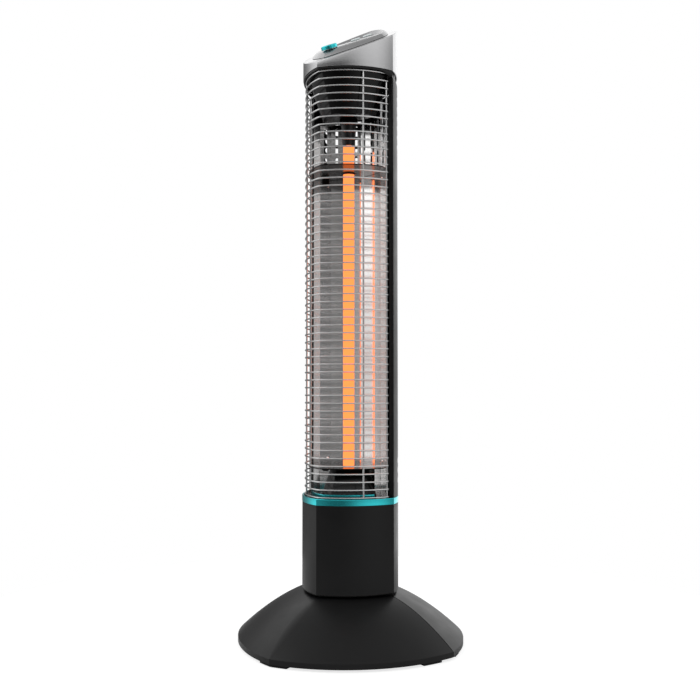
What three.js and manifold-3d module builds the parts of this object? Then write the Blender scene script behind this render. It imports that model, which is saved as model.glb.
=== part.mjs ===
// Infrared patio heater tower: a glowing quartz tube and a folded reflector behind a wire grille, on a
// square column with bowed sides that swivels on a domed base. Millimetres, +Z up. The origin is at the
// middle of the base, on the floor, and one corner of the tower points to -Y, which is its front.

import * as THREE from 'three';
import { mergeVertices } from 'three/addons/utils/BufferGeometryUtils.js';
import Module from 'manifold-3d';

// ---- Driving dimensions ---------------------------------------------------------------------------

const seatGap = 0.3;               // between two pieces that rest on or beside each other
const runningGap = 0.5;            // round anything that turns or slides
const arcSteps = 8;                // straight pieces in each bowed side
const domeSteps = 8;               // straight pieces from the rim up the dome
const roundSteps = 16;             // straight pieces in a round outline
const fitGap = 1;                  // round anything set into a cut-out
const cutDepth = 40;               // of what cuts through a wall

// Plans: a square whose corners lie on the X and Y axes at `corner` and whose sides bow out by `bow`
const towerPlan = { corner: 70.6, bow: 13.2 };
const grillePlan = { corner: 66.6, bow: 12.2 };
const rimPlan = { corner: 158.3, bow: 35 };

// Base
const footHeight = 3;
const footDepth = 15;              // from the outer edge inwards
const footInset = 2;
const rimHeight = 6.5;
const baseWall = 2.6;
const plateThickness = 3;
const domeShoulder = 66;           // corner distance of the dome's top edge
// The dome's curve between rim and shoulder: [share of the way out, share of the way up] of its two handles
const domeHandles = [[0.8126, 0.2873], [0.4117, 0.8169]];
const domeTop = 65.2;
const domeOpening = 50;            // radius of the hole for the swivel
const seamGap = 0.5;
const ballastHeight = 9;
const ballastOuter = 98;
const ballastInner = 44;
const hubBore = 24;
const hubWall = 3;
const hubFlangeThickness = 3.2;
const hubFootReach = 8;
const hubFootThickness = 3;
const screwRadius = 1.6;
const screwHeadRadius = 3.8;
const screwHeadHeight = 1.8;
const baseScrewReach = 92;         // from the axis to each base screw
const baseScrewLength = 14;
const bossRadius = 5;
const switchTraySize = [26, 18, 16];
const switchTrayX = 84;
const terminalSize = [20, 34, 12];
const terminalX = -84;
const glandRadius = 7;
const glandBore = 3.6;
const glandHeight = 24;
const glandInnerEnd = 116;         // from the axis, towards the back left
const glandOuterEnd = 137;
const glandBearing = 135;          // degrees round from the right corner
// Rubber pads under the rim: one at the front and back corners, and a pair astride the seam at each side
const footStretches = {
  foot_front: [-0.093, 0.093],
  foot_right_front: [0.81, 0.925],
  foot_right_rear: [1.05, 1.125],
  foot_back: [1.907, 2.093],
  foot_left_rear: [2.875, 2.95],
  foot_left_front: [3.075, 3.19],
};

// Swivel
const turntableRadius = 47;
const turntableThickness = 2.6;
const journalLength = 15;
const journalWall = 3;
const motorRadius = 19;
const motorHeight = 30;
const motorShaftRadius = 4;
const shaftSleeveWall = 3;
const shaftSleeveLength = 6;
const shaftDrop = 2;               // from the turntable's underside to the shaft's end

// Column and collar
const columnSkirt = 0.8;           // how far the column comes down past the turntable's top
const columnWall = 2.6;
const columnEdgeRound = 2.4;
const columnHeight = 114.2;
const columnFloorThickness = 3;
const collarHeight = 8;
const collarWall = 2.4;
const lipCorner = 57;
const lipHeight = 4.8;
const lipWall = 2.4;
const lipBackEdge = -15;           // the lip stops here, short of the reflector
const chamberFloorThickness = 2.8;
const powerBoardWidth = 70;
const powerBoardHeight = 88;
const powerBoardFoot = [60, 10, 4];
const transformerSize = [26, 20, 30];
const transformerPlace = [-14, 40];   // x, and the height above the column's floor
const relaySize = [20, 14, 18];
const relayPlace = [20, 62];

// Grille
const wireRadius = 1;
const wireCount = 56;
const wireSides = 4;
const wireSideSteps = 4;
const staySides = 4;
const firstWireLift = 1.3;         // from the collar's top to the lowest wire's centre line
const wireEndShare = 0.965;        // of a side's length, where a wire's end meets the housing
const stayRadius = 1.2;
const weldDepth = 0.6;
const lastWireDrop = 4;            // from the top frame's top to the highest wire's centre line
// The grille's upright bars: [share of a front side from the front corner, first wire, last wire]
const stays = [[0.6, 0, wireCount - 1], [0.945, 0, wireCount - 2], [0.86, wireCount - 7, wireCount - 5]];
const stayEnd = firstWireLift;     // of a bar past the first and the last wire that it joins

// Radiant chamber
const lampY = -3;
const tubeRadius = 7.35;
const tubeWall = 1.2;
const tubeLift = 16.9;             // from the chamber floor to the tube's end
const tubeLength = 476;
const filamentRadius = 2.2;
const holderRadius = 12.2;
const holderNeckRadius = 10.4;
const holderEndRadius = 8.2;
const upperHolderLength = 34.7;
const holderHead = 5;              // height of its wide part
const holderCrown = 8.4;           // from the tube's end to the hood above it
const lowerHolderRadius = 11;
const sheet = 0.9;                 // reflector sheet thickness
// Half of the reflector's folds, seen from above, from the middle crease to the edge by the housing
const reflectorFolds = [[0, 24.5], [26.6, 19.1], [41.9, 12.1], [54.9, 4], [62, -1.4]];
const shelfThickness = 1.4;
const dividerReach = 2;            // of the divider plate behind the main reflector
const lampHoleGap = 2.4;
const shelfEnd = 0.9;              // share of each front side that a plate's front edge follows
const tabSize = [10, 1.2, 9.5];    // width, thickness and drop of the tab under each plate
const tabRoot = 0.7;
const upperReflectorHeight = 75;   // above the divider plate
const upperReflectorOverlap = 4.4; // of its top past the upper hood's lower edge
const slotWidth = 4;
const slotSpacing = 14;
const slotColumns = 8;
// [lift above the divider, height], as shares of the upper reflector's height
const slotRows = [[0.069, 0.32], [0.456, 0.48]];
const lowerHoodHeight = 36.6;
const lowerHoodCorner = 42;
const lowerHoodTopCorner = 28;
const upperHoodHeight = 52;
const upperHoodCorner = 60.5;
const upperHoodBottomCorner = 41;
const hoodWall = 1.5;
const hoodBackEdge = 2.5;
const railWidth = 4;
const railDepth = 6;
const railX = 34;
const railGap = 2.2;               // behind the reflector
const cutoffSize = [14, 7, 22];
const cutoffDrop = 60;             // from the divider plate down to the thermal cut-out's middle
const conduitRadius = 3;
const conduitY = 44;
const conduitEntry = 2;            // into the column's floor
const conduitRise = 30;            // into the cap

// Rear housing
const housingWall = 2;
const flangeDepth = 2.2;
const flangeReach = 5;
const ventHeight = 8.5;
const ventWidth = 25;
const ventPitch = 13;
const ventColumnPitch = 30;
const ventRowsLow = 3;
const ventRowsHigh = 6;
const ventMargin = 20;             // from the housing's ends to the nearest row
const housingScrewMargin = 9;
const housingScrewLength = 9;
const housingScrewSunk = 1;        // of the head in the wall
const housingScrewProud = 0.9;

// Top
const frameHeight = 7.2;           // where it meets the housing
const frameFrontHeight = 2.6;      // where the highest wire shows below it
const frameSlope = [-16, -6];      // its lower edge slopes between these places from front to back
const frameInset = 0.8;
const frameWall = 1.6;
const ceilingThickness = 2;
const capMidHeight = 48.3;         // from the cap's lower edge to its top, on the axis
const capSlope = 0.567;            // rise of the top from front to back
const capWall = 2.2;
const podCorner = 57;
const podRidgeCorner = 51;         // of the ridge round the pod's top
const podRidgeSlope = 0.01;        // how the ridge rises from the cap towards the back
const podRidgeEndRise = 2.8;       // how much higher the ridge stands at its front and back corners
const podRidgeWidth = 1;
const podDishEdge = 3.2;           // from the ridge's outline to the flat inside it
const podMidRise = 5.9;            // of the pod's flat above the cap, on the axis
const podFlatFall = 0.055;
const podRoofHalfWidth = 22;        // of the hollow under the flat
const podRoofHalfLength = 50;
const podWall = 2;
const knobY = -44;
const knobRadius = 11;
const knobHeight = 5;
const knobChamfer = 1;
const knobTopThickness = 2;
const knobShaftRadius = 3;
const knobShaftLength = 17;
const switchSize = 17;
const switchDepth = 8;
const switchGap = 2;               // under the cap
const buttonRadius = 6.7;
const buttonRise = 2.4;
const buttonTravel = 1.2;
const buttonYs = [13, 40.5];
const buttonSkirt = 1.8;
const buttonChamfer = 0.8;
const stemRadius = 2.4;
const stemGap = 1.4;               // from a pressed button's stem to the board
const boardThickness = 1.6;
const boardWidth = 38;
const boardLength = 62;
const boardDrop = 13;
const boardMiddleY = 26;
const boardRelaySize = [14, 16, 9];
const boardRelayY = -20;
const postRadius = 2.5;

// ---- Heights that follow ---------------------------------------------------------------------------

const rimTop = footHeight + rimHeight;
const plateTop = footHeight + plateThickness;
const hubTop = domeTop - seatGap;
const turntableBottom = hubTop + runningGap;
const turntableTop = turntableBottom + turntableThickness;
const columnBottom = turntableTop - columnSkirt;
const columnTop = columnBottom + columnHeight;
const collarTop = columnTop + collarHeight;
const chamberFloor = collarTop - seatGap;
const lowerHoodTop = chamberFloor + seatGap + lowerHoodHeight;
const tubeBottom = chamberFloor + tubeLift;
const tubeTop = tubeBottom + tubeLength;
const upperHoodBottom = tubeTop + holderCrown;
const upperHoodTop = upperHoodBottom + upperHoodHeight;
const upperReflectorBottom = upperHoodBottom + upperReflectorOverlap - upperReflectorHeight;
const dividerTop = upperReflectorBottom - seatGap;
const dividerBottom = dividerTop - shelfThickness;
const lowerPlateBottom = lowerHoodTop + seatGap;
const ceilingUnder = upperHoodTop + seatGap;
const frameTop = ceilingUnder + ceilingThickness;
const frameBottom = frameTop - frameHeight;
const firstWire = collarTop + firstWireLift;
const wirePitch = (frameTop - lastWireDrop - firstWire) / (wireCount - 1);
const housingBottom = collarTop;
const housingTop = frameBottom - seatGap;
const capBottom = frameTop + seatGap;

const capTopAt = (y) => capBottom + capMidHeight + capSlope * y;
const podFlatAt = (y) => capTopAt(y) + podMidRise - podFlatFall * y;
const podRidgeLift = (y) => podRidgeSlope * y + podRidgeEndRise * (y / podRidgeCorner) ** 2;
const podRidgeAt = (y) => capTopAt(y) + podMidRise + podRidgeLift(y);
const capTilt = Math.atan(capSlope);
const podTilt = Math.atan(capSlope - podFlatFall);

// ---- Solids ----------------------------------------------------------------------------------------

const wasm = await Module();
wasm.setup();

function weld(geometry) {
  const bare = geometry.clone();
  bare.deleteAttribute('normal');
  bare.deleteAttribute('uv');
  return mergeVertices(bare, 1e-4);
}

function toSolid(geometry) {
  const welded = weld(geometry);
  const vertProperties = new Float32Array(welded.attributes.position.array);
  const triVerts = new Uint32Array(welded.index.array);
  return new wasm.Manifold(new wasm.Mesh({ numProp: 3, vertProperties, triVerts }));
}

function toGeometry(solid) {
  const mesh = solid.getMesh();
  const geometry = new THREE.BufferGeometry();
  geometry.setAttribute('position', new THREE.BufferAttribute(mesh.vertProperties, 3));
  geometry.setIndex(new THREE.BufferAttribute(mesh.triVerts, 1));
  return geometry;
}

function cut(geometry, tools) {
  const left = tools.reduce((solid, tool) => solid.subtract(toSolid(tool)), toSolid(geometry));
  return toGeometry(left);
}

function join(geometries) {
  return toGeometry(geometries.map(toSolid).reduce((all, one) => all.add(one)));
}

function common(first, second) {
  return toGeometry(toSolid(first).intersect(toSolid(second)));
}

// Turns a geometry's faces outwards when its winding gives it a negative volume
function outward(geometry) {
  const welded = weld(geometry);
  const place = welded.attributes.position;
  const corners = [new THREE.Vector3(), new THREE.Vector3(), new THREE.Vector3()];
  const index = welded.index.array;
  let volume = 0;
  for (let i = 0; i < index.length; i += 3) {
    corners.forEach((corner, n) => corner.fromBufferAttribute(place, index[i + n]));
    volume += corners[0].dot(corners[1].clone().cross(corners[2]));
  }
  if (volume < 0) {
    index.reverse();
  }
  return welded;
}

function box(size, middle) {
  return new THREE.BoxGeometry(...size).translate(...middle);
}

function cylinder(radius, bottom, top, x = 0, y = 0, steps = roundSteps) {
  const height = top - bottom;
  const geometry = new THREE.CylinderGeometry(radius, radius, height, steps);
  return geometry.rotateX(Math.PI / 2).translate(x, y, bottom + height / 2);
}

// A turned piece from [radius, height] pairs that end on the axis or close on themselves
function turned(profile, steps = roundSteps) {
  const points = profile.map(([radius, height]) => new THREE.Vector2(radius, height));
  return outward(new THREE.LatheGeometry(points, steps).rotateX(Math.PI / 2));
}

// A flat plate from its outline, with holes given as [x, y, radius]
function plate(outline, bottom, thickness, holes = []) {
  const shape = new THREE.Shape(outline);
  for (const [x, y, radius] of holes) {
    shape.holes.push(new THREE.Path().absarc(x, y, radius, 0, 2 * Math.PI, true));
  }
  const curveSegments = Math.ceil(roundSteps / 2);
  const extrusion = { depth: thickness, bevelEnabled: false, curveSegments };
  return new THREE.ExtrudeGeometry(shape, extrusion).translate(0, 0, bottom);
}

// The triangles of a ring's flat face, as places in the ring
function flatFaces(ring) {
  return THREE.ShapeUtils.triangulateShape(ring.map((p) => new THREE.Vector2(p.x, p.y)), []);
}

// Joins rings of equally many points into one closed skin. Each ring runs anticlockwise from above.
// A tube-like skin is closed on itself; any other gets a flat face over its first and last ring.
function skin(rings, closedOnItself) {
  const count = rings[0].length;
  const index = [];
  const spans = closedOnItself ? rings.length : rings.length - 1;
  for (let level = 0; level < spans; level++) {
    const low = level * count;
    const high = ((level + 1) % rings.length) * count;
    for (let i = 0; i < count; i++) {
      const next = (i + 1) % count;
      index.push(low + i, low + next, high + next);
      index.push(low + i, high + next, high + i);
    }
  }
  if (!closedOnItself) {
    const last = (rings.length - 1) * count;
    flatFaces(rings[0]).forEach(([a, b, c]) => index.push(c, b, a));
    flatFaces(rings.at(-1)).forEach(([a, b, c]) => index.push(last + a, last + b, last + c));
  }
  const geometry = new THREE.BufferGeometry();
  geometry.setAttribute('position', new THREE.Float32BufferAttribute(rings.flat().flatMap((p) => [...p]), 3));
  geometry.setIndex(index);
  return geometry;
}

// ---- The bowed square ------------------------------------------------------------------------------

// One side's arc: its centre's distance along the side's normal, its radius, half its angle
function sideArc(plan, inset) {
  const halfChord = plan.corner / Math.SQRT2;
  const radius = (halfChord ** 2 + plan.bow ** 2) / (2 * plan.bow);
  const centre = halfChord + plan.bow - radius;
  const across = centre / Math.SQRT2;
  const corner = across + Math.sqrt((radius - inset) ** 2 - across ** 2);
  return { centre, radius: radius - inset, halfAngle: Math.asin(corner / Math.SQRT2 / (radius - inset)) };
}

// A point on the outline, `inset` inside it. Way 0 is the front corner, 1 the right one, 2 the back one.
function planPoint(plan, inset, way) {
  const arc = sideArc(plan, inset);
  const side = Math.floor(way);
  const normal = -Math.PI / 4 + side * Math.PI / 2;
  const angle = normal + arc.halfAngle * (2 * (way - side) - 1);
  return new THREE.Vector2(
    arc.centre * Math.cos(normal) + arc.radius * Math.cos(angle),
    arc.centre * Math.sin(normal) + arc.radius * Math.sin(angle),
  );
}

function planStretch(plan, inset, start, end, steps) {
  const wayAt = (i) => start + (end - start) * i / steps;
  return Array.from({ length: steps + 1 }, (_, i) => planPoint(plan, inset, wayAt(i)));
}

function planOutline(plan, inset = 0, steps = arcSteps) {
  return planStretch(plan, inset, 0, 4, 4 * steps).slice(0, -1);
}

// The outline as a ring in space; `height` is a number or a function of y
function planRing(plan, inset, height, steps = arcSteps) {
  const heightAt = typeof height === 'function' ? height : () => height;
  return planOutline(plan, inset, steps).map((p) => new THREE.Vector3(p.x, p.y, heightAt(p.y)));
}

// An upright wall that follows the outline
function planWall(plan, inset, wall, bottom, top) {
  return skin([
    planRing(plan, inset, bottom),
    planRing(plan, inset, top),
    planRing(plan, inset + wall, top),
    planRing(plan, inset + wall, bottom),
  ], true);
}

const alongSide = (way) => -Math.PI / 4 + Math.floor(way) * Math.PI / 2;
const towerBow = (corner) => ({ corner, bow: corner * towerPlan.bow / towerPlan.corner });

// ---- Materials and the group -----------------------------------------------------------------------

const finishes = {
  blackPlastic: { color: 0x17171a, roughness: 0.5, metalness: 0 },
  blackSteel: { color: 0x1d1d1f, roughness: 0.6, metalness: 0.3 },
  rubber: { color: 0x101010, roughness: 0.9, metalness: 0 },
  castIron: { color: 0x3c3d3f, roughness: 0.8, metalness: 0.6 },
  steel: { color: 0xc9ccd0, roughness: 0.3, metalness: 1 },
  aluminium: { color: 0xd9dadd, roughness: 0.25, metalness: 1 },
  silver: { color: 0xb9bbbe, roughness: 0.35, metalness: 0.6 },
  greyPlastic: { color: 0x9a9c9f, roughness: 0.4, metalness: 0.2 },
  teal: { color: 0x1f7f84, roughness: 0.25, metalness: 0 },
  paleTeal: { color: 0xa8f4f6, roughness: 0.3, metalness: 0 },
  ceramic: { color: 0x2b2b2d, roughness: 0.7, metalness: 0 },
  quartz: { color: 0xffad5c, roughness: 0.1, metalness: 0, emissive: 0xff8a30 },
  carbon: { color: 0x6b2a10, roughness: 0.8, metalness: 0, emissive: 0xff5a10 },
  board: { color: 0x1f5a34, roughness: 0.6, metalness: 0 },
};

const heater = new THREE.Group();

function add(name, finish, geometry, parent = heater) {
  const material = new THREE.MeshStandardMaterial({ ...finishes[finish], flatShading: true });
  const mesh = new THREE.Mesh(geometry, material);
  mesh.name = name;
  parent.add(mesh);
  return mesh;
}

// ---- Base ------------------------------------------------------------------------------------------

// The dome's outer rings from the rim up: a curve in (corner distance, height), with the bow growing outwards
function domeRings(inset, steps) {
  const knots = [[1, 0], ...domeHandles, [0, 1]].map(([out, up]) => new THREE.Vector2(
    THREE.MathUtils.lerp(domeShoulder, rimPlan.corner, out),
    THREE.MathUtils.lerp(rimTop, domeTop, up),
  ));
  const curve = new THREE.CubicBezierCurve(...knots);
  const bowShare = (corner) => {
    const share = (corner - domeShoulder) / (rimPlan.corner - domeShoulder);
    return THREE.MathUtils.lerp(towerPlan.bow / towerPlan.corner, rimPlan.bow / rimPlan.corner, share);
  };
  return curve.getSpacedPoints(steps).map((p) => {
    const drop = inset * THREE.MathUtils.smoothstep(p.y, rimTop, domeTop);
    return planRing({ corner: p.x, bow: p.x * bowShare(p.x) }, inset, p.y - drop);
  });
}

function circleRing(radius, height) {
  return planOutline(rimPlan).map((p) => {
    const angle = Math.atan2(p.y, p.x);
    return new THREE.Vector3(radius * Math.cos(angle), radius * Math.sin(angle), height);
  });
}

function domeShell() {
  const outer = [planRing(rimPlan, 0, footHeight), ...domeRings(0, domeSteps)];
  const inner = [planRing(rimPlan, baseWall, footHeight), ...domeRings(baseWall, domeSteps / 2)];
  return skin([
    ...outer,
    circleRing(domeOpening, domeTop),
    circleRing(domeOpening, domeTop - baseWall),
    ...inner.reverse(),
  ], true);
}

const baseScrewPlaces = [0.5, 1.5, 2.5, 3.5].map((way) => {
  const angle = alongSide(way);
  return [baseScrewReach * Math.cos(angle), baseScrewReach * Math.sin(angle)];
});

function addBaseShells() {
  const domeVolume = skin([planRing(rimPlan, 0, footHeight), ...domeRings(0, domeSteps)], false);
  const bosses = baseScrewPlaces.map(([x, y]) => {
    return common(cylinder(bossRadius, plateTop + seatGap, domeTop, x, y, 12), domeVolume);
  });
  const pilots = baseScrewPlaces.map(([x, y]) => {
    return cylinder(screwRadius + seatGap, footHeight, plateTop + baseScrewLength + fitGap, x, y, 12);
  });
  const glandHole = glandCylinder(glandRadius + seatGap, seatGap);
  const whole = cut(join([domeShell(), ...bosses]), [...pilots, glandHole]);
  const half = 2 * rimPlan.corner;
  const front = box([2 * half, half, half], [0, -(half + seamGap) / 2, 0]);
  const rear = box([2 * half, half, half], [0, (half + seamGap) / 2, 0]);
  add('base_front_shell', 'blackPlastic', common(whole, front));
  add('base_rear_shell', 'blackPlastic', common(whole, rear));
}

function addBasePlate() {
  const outline = planOutline(rimPlan, baseWall + seatGap);
  const holes = baseScrewPlaces.map(([x, y]) => [x, y, screwRadius + seatGap]);
  const recesses = baseScrewPlaces.map(([x, y]) => {
    return cylinder(screwHeadRadius + seatGap, 0, footHeight + screwHeadHeight + seatGap, x, y, 12);
  });
  add('base_plate', 'blackSteel', cut(plate(outline, footHeight, plateThickness, holes), recesses));
}

function addFeet() {
  for (const [name, [start, end]] of Object.entries(footStretches)) {
    const outer = planStretch(rimPlan, footInset, start, end, 4);
    const inner = planStretch(rimPlan, footInset + footDepth, start, end, 4);
    add(name, 'rubber', plate([...outer, ...inner.reverse()], 0, footHeight));
  }
}

function addBallast() {
  const bottom = plateTop;
  const top = bottom + ballastHeight;
  const ring = turned([
    [ballastInner, bottom], [ballastOuter, bottom], [ballastOuter, top], [ballastInner, top],
    [ballastInner, bottom],
  ], 2 * roundSteps);
  const clearance = baseScrewPlaces.map(([x, y]) => cylinder(bossRadius + fitGap, 0, domeTop, x, y, 12));
  const recess = (size, x) => box([size[0] + 2 * fitGap, size[1] + 2 * fitGap, domeTop], [x, 0, 0]);
  const recesses = [recess(switchTraySize, switchTrayX), recess(terminalSize, terminalX)];
  add('ballast', 'castIron', cut(ring, [...clearance, ...recesses]));
}

function addHub() {
  const hubOuter = hubBore + hubWall;
  const footRadius = hubOuter + hubFootReach;
  const footTop = plateTop + hubFootThickness;
  const flangeRadius = domeOpening - runningGap;
  const flangeBottom = hubTop - hubFlangeThickness;
  add('base_hub', 'blackPlastic', turned([
    [hubBore, plateTop], [footRadius, plateTop], [footRadius, footTop],
    [hubOuter, footTop + hubFootThickness], [hubOuter, flangeBottom], [flangeRadius, flangeBottom],
    [flangeRadius, hubTop], [hubBore, hubTop], [hubBore, plateTop],
  ], 2 * roundSteps));
}

function addBaseInnards() {
  const motorTop = plateTop + motorHeight;
  const shaftTop = turntableBottom - shaftDrop;
  add('oscillation_motor', 'steel', turned([
    [0, plateTop], [motorRadius, plateTop], [motorRadius, motorTop], [motorShaftRadius, motorTop],
    [motorShaftRadius, shaftTop], [0, shaftTop],
  ]));
  const onPlate = (size, x) => box(size, [x, 0, plateTop + size[2] / 2]);
  add('tip_switch', 'greyPlastic', onPlate(switchTraySize, switchTrayX));
  add('terminal_block', 'greyPlastic', onPlate(terminalSize, terminalX));
}

// A level cylinder where the cable gland leaves the back left side of the base
function glandCylinder(radius, overhang) {
  const sleeve = cylinder(radius, glandInnerEnd - overhang, glandOuterEnd + overhang);
  const bearing = THREE.MathUtils.degToRad(glandBearing);
  return sleeve.rotateY(Math.PI / 2).rotateZ(bearing).translate(0, 0, glandHeight);
}

function addGland() {
  add('cable_gland', 'rubber', cut(glandCylinder(glandRadius, 0), [glandCylinder(glandBore, fitGap)]));
}

function addBaseScrews() {
  baseScrewPlaces.forEach(([x, y], i) => {
    const headTop = footHeight + screwHeadHeight;
    const screw = turned([
      [0, footHeight], [screwHeadRadius, footHeight], [screwHeadRadius, headTop], [screwRadius, headTop],
      [screwRadius, plateTop + baseScrewLength], [0, plateTop + baseScrewLength],
    ], 10).translate(x, y, 0);
    add(`base_screw_${i + 1}`, 'steel', screw);
  });
}

// ---- Column ----------------------------------------------------------------------------------------

function addSwivel() {
  const journalRadius = hubBore - runningGap;
  const journalInner = journalRadius - journalWall;
  const journalBottom = turntableBottom - journalLength;
  const sleeveBore = motorShaftRadius + seatGap;
  const sleeveRadius = motorShaftRadius + shaftSleeveWall;
  const sleeveBottom = turntableBottom - shaftSleeveLength;
  add('turntable', 'blackPlastic', turned([
    [journalInner, journalBottom], [journalRadius, journalBottom], [journalRadius, turntableBottom],
    [turntableRadius, turntableBottom], [turntableRadius, turntableTop], [sleeveBore, turntableTop],
    [sleeveBore, sleeveBottom], [sleeveRadius, sleeveBottom], [sleeveRadius, turntableBottom],
    [journalInner, turntableBottom], [journalInner, journalBottom],
  ], 2 * roundSteps));
  const outline = planOutline(towerPlan, columnWall + seatGap);
  const hole = [0, conduitY, conduitRadius + seatGap];
  add('column_floor', 'blackSteel', plate(outline, turntableTop, columnFloorThickness, [hole]));
}

function addColumn() {
  const round = [0, 0.5, 1].map((share) => {
    const angle = share * Math.PI / 2;
    const inset = columnEdgeRound * (1 - Math.sin(angle));
    return planRing(towerPlan, inset, columnBottom + columnEdgeRound * (1 - Math.cos(angle)));
  });
  add('column_shell', 'blackPlastic', skin([
    ...round,
    planRing(towerPlan, 0, columnTop),
    planRing(towerPlan, columnWall, columnTop),
    planRing(towerPlan, columnWall, columnBottom),
  ], true));
}

// The power board stands on the column's floor, with its parts on its back face
function addPowerBoard() {
  const bottom = turntableTop + columnFloorThickness;
  const onBack = (size, x, lift) => box(size, [x, size[1] / 2, bottom + lift]);
  add('power_board', 'board', join([
    box([powerBoardWidth, boardThickness, powerBoardHeight], [0, 0, bottom + powerBoardHeight / 2]),
    onBack(powerBoardFoot, 0, powerBoardFoot[2] / 2),
    onBack(transformerSize, ...transformerPlace),
    onBack(relaySize, ...relayPlace),
  ]));
}

function addCollar() {
  add('collar', 'teal', planWall(towerPlan, -seatGap, collarWall + seatGap, columnTop, collarTop));
  const floorBottom = chamberFloor - chamberFloorThickness;
  const outline = planOutline(towerPlan, collarWall + seatGap);
  const hole = [0, conduitY, conduitRadius + seatGap];
  add('chamber_floor', 'blackSteel', plate(outline, floorBottom, chamberFloorThickness, [hole]));
  const lip = planWall(towerBow(lipCorner), 0, lipWall, chamberFloor, chamberFloor + lipHeight);
  const front = box([4 * lipCorner, 2 * lipCorner, 2 * collarTop], [0, lipBackEdge - lipCorner, collarTop]);
  add('collar_lip', 'teal', common(lip, front));
}

// ---- Radiant chamber -------------------------------------------------------------------------------

function addLamp() {
  const at = (geometry) => geometry.translate(0, lampY, 0);
  const inner = tubeRadius - tubeWall;
  add('quartz_tube', 'quartz', at(turned([
    [inner, tubeBottom], [tubeRadius, tubeBottom], [tubeRadius, tubeTop], [inner, tubeTop],
    [inner, tubeBottom],
  ], 24)));
  add('filament', 'carbon', at(cylinder(filamentRadius, tubeBottom, tubeTop, 0, 0, 10)));
  const bore = tubeRadius + seatGap;
  const lowerFloor = tubeBottom - seatGap;
  const lowerTop = lowerHoodTop - hoodWall - seatGap;
  const lowerBottom = chamberFloor + seatGap;
  add('lower_lamp_holder', 'ceramic', at(turned([
    [0, lowerBottom], [lowerHolderRadius, lowerBottom], [lowerHolderRadius, lowerTop], [bore, lowerTop],
    [bore, lowerFloor], [0, lowerFloor],
  ])));
  const upperFloor = tubeTop + seatGap;
  const upperTop = upperHoodBottom - seatGap;
  const upperBottom = upperTop - upperHolderLength;
  add('upper_lamp_holder', 'ceramic', at(turned([
    [0, upperTop], [holderRadius, upperTop], [holderRadius, upperTop - holderHead],
    [holderNeckRadius, upperTop - holderHead], [holderEndRadius, upperBottom], [bore, upperBottom],
    [bore, upperFloor], [0, upperFloor],
  ])));
}

// The folded sheet's outline seen from above: its lit face forward, its back face `sheet` behind it
function reflectorOutline() {
  const right = reflectorFolds.map(([x, y]) => new THREE.Vector2(x, y));
  const left = right.slice(1).map((p) => new THREE.Vector2(-p.x, p.y));
  const front = [...left.reverse(), ...right];
  const back = front.map((p) => new THREE.Vector2(p.x, p.y + sheet)).reverse();
  return [...front, ...back];
}

function addReflectors() {
  const bottom = chamberFloor + seatGap;
  const main = plate(reflectorOutline(), bottom, dividerBottom - seatGap - bottom);
  add('main_reflector', 'aluminium', main);
  const whole = plate(reflectorOutline(), upperReflectorBottom, upperReflectorHeight);
  const slots = [];
  for (const [lift, height] of slotRows) {
    const middle = upperReflectorBottom + (lift + height / 2) * upperReflectorHeight;
    for (let column = 0; column < slotColumns; column++) {
      const x = (column - (slotColumns - 1) / 2) * slotSpacing;
      const size = [slotWidth, cutDepth, height * upperReflectorHeight];
      slots.push(box(size, [x, reflectorFolds[0][1], middle]));
    }
  }
  add('upper_reflector', 'aluminium', cut(whole, slots));
}

// A tab that hangs from a plate's underside, in front of the reflector's left side
function shelfTab(under) {
  const [width, thickness, drop] = tabSize;
  const [[x0, y0], [x1, y1]] = reflectorFolds.slice(2, 4);
  const tab = box([width, thickness, drop + tabRoot], [0, -seatGap - thickness / 2, (tabRoot - drop) / 2]);
  return tab.rotateZ(Math.atan2(y0 - y1, x1 - x0)).translate(-(x0 + x1) / 2, (y0 + y1) / 2, under);
}

// A level plate across the chamber, from behind the grille to this far behind the reflector's lit face
function chamberShelf(bottom, reach) {
  const inset = wireRadius + 2 * stayRadius + runningGap;
  const front = planStretch(grillePlan, inset, -shelfEnd, shelfEnd, 2 * arcSteps);
  const back = reflectorFolds.slice(0, -1).map(([x, y]) => new THREE.Vector2(x, y + reach));
  const backLeft = back.slice(1).map((p) => new THREE.Vector2(-p.x, p.y));
  const outline = [...front, ...back.slice().reverse(), ...backLeft];
  const lampHole = [0, lampY, tubeRadius + lampHoleGap];
  return join([plate(outline, bottom, shelfThickness, [lampHole]), shelfTab(bottom)]);
}

function addChamberShelves() {
  add('divider_plate', 'blackSteel', chamberShelf(dividerBottom, sheet + dividerReach));
  add('lower_plate', 'blackSteel', chamberShelf(lowerPlateBottom, -seatGap));
}

// A hollow half pyramid with bowed sides, closed at its small end and open at its other end and behind
function hood(small, open, smallZ, openZ) {
  const inside = smallZ + Math.sign(openZ - smallZ) * hoodWall;
  const rings = [
    planRing(small, hoodWall, inside),
    planRing(open, hoodWall, openZ),
    planRing(open, 0, openZ),
    planRing(small, 0, smallZ),
  ];
  const reach = 2 * Math.max(small.corner, open.corner);
  const front = box([2 * reach, reach, 3 * frameTop], [0, hoodBackEdge - reach / 2, 0]);
  return common(skin(openZ < smallZ ? rings : rings.reverse(), false), front);
}

function addHoods() {
  const lowerBottom = chamberFloor + seatGap;
  const lowerPlans = [towerBow(lowerHoodTopCorner), towerBow(lowerHoodCorner)];
  const upperPlans = [towerBow(upperHoodBottomCorner), towerBow(upperHoodCorner)];
  const lampHole = cylinder(tubeRadius + seatGap, lowerBottom, lowerHoodTop + fitGap, 0, lampY);
  add('lower_hood', 'blackSteel', cut(hood(...lowerPlans, lowerHoodTop, lowerBottom), [lampHole]));
  add('upper_hood', 'blackSteel', hood(...upperPlans, upperHoodBottom, upperHoodTop));
}

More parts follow.
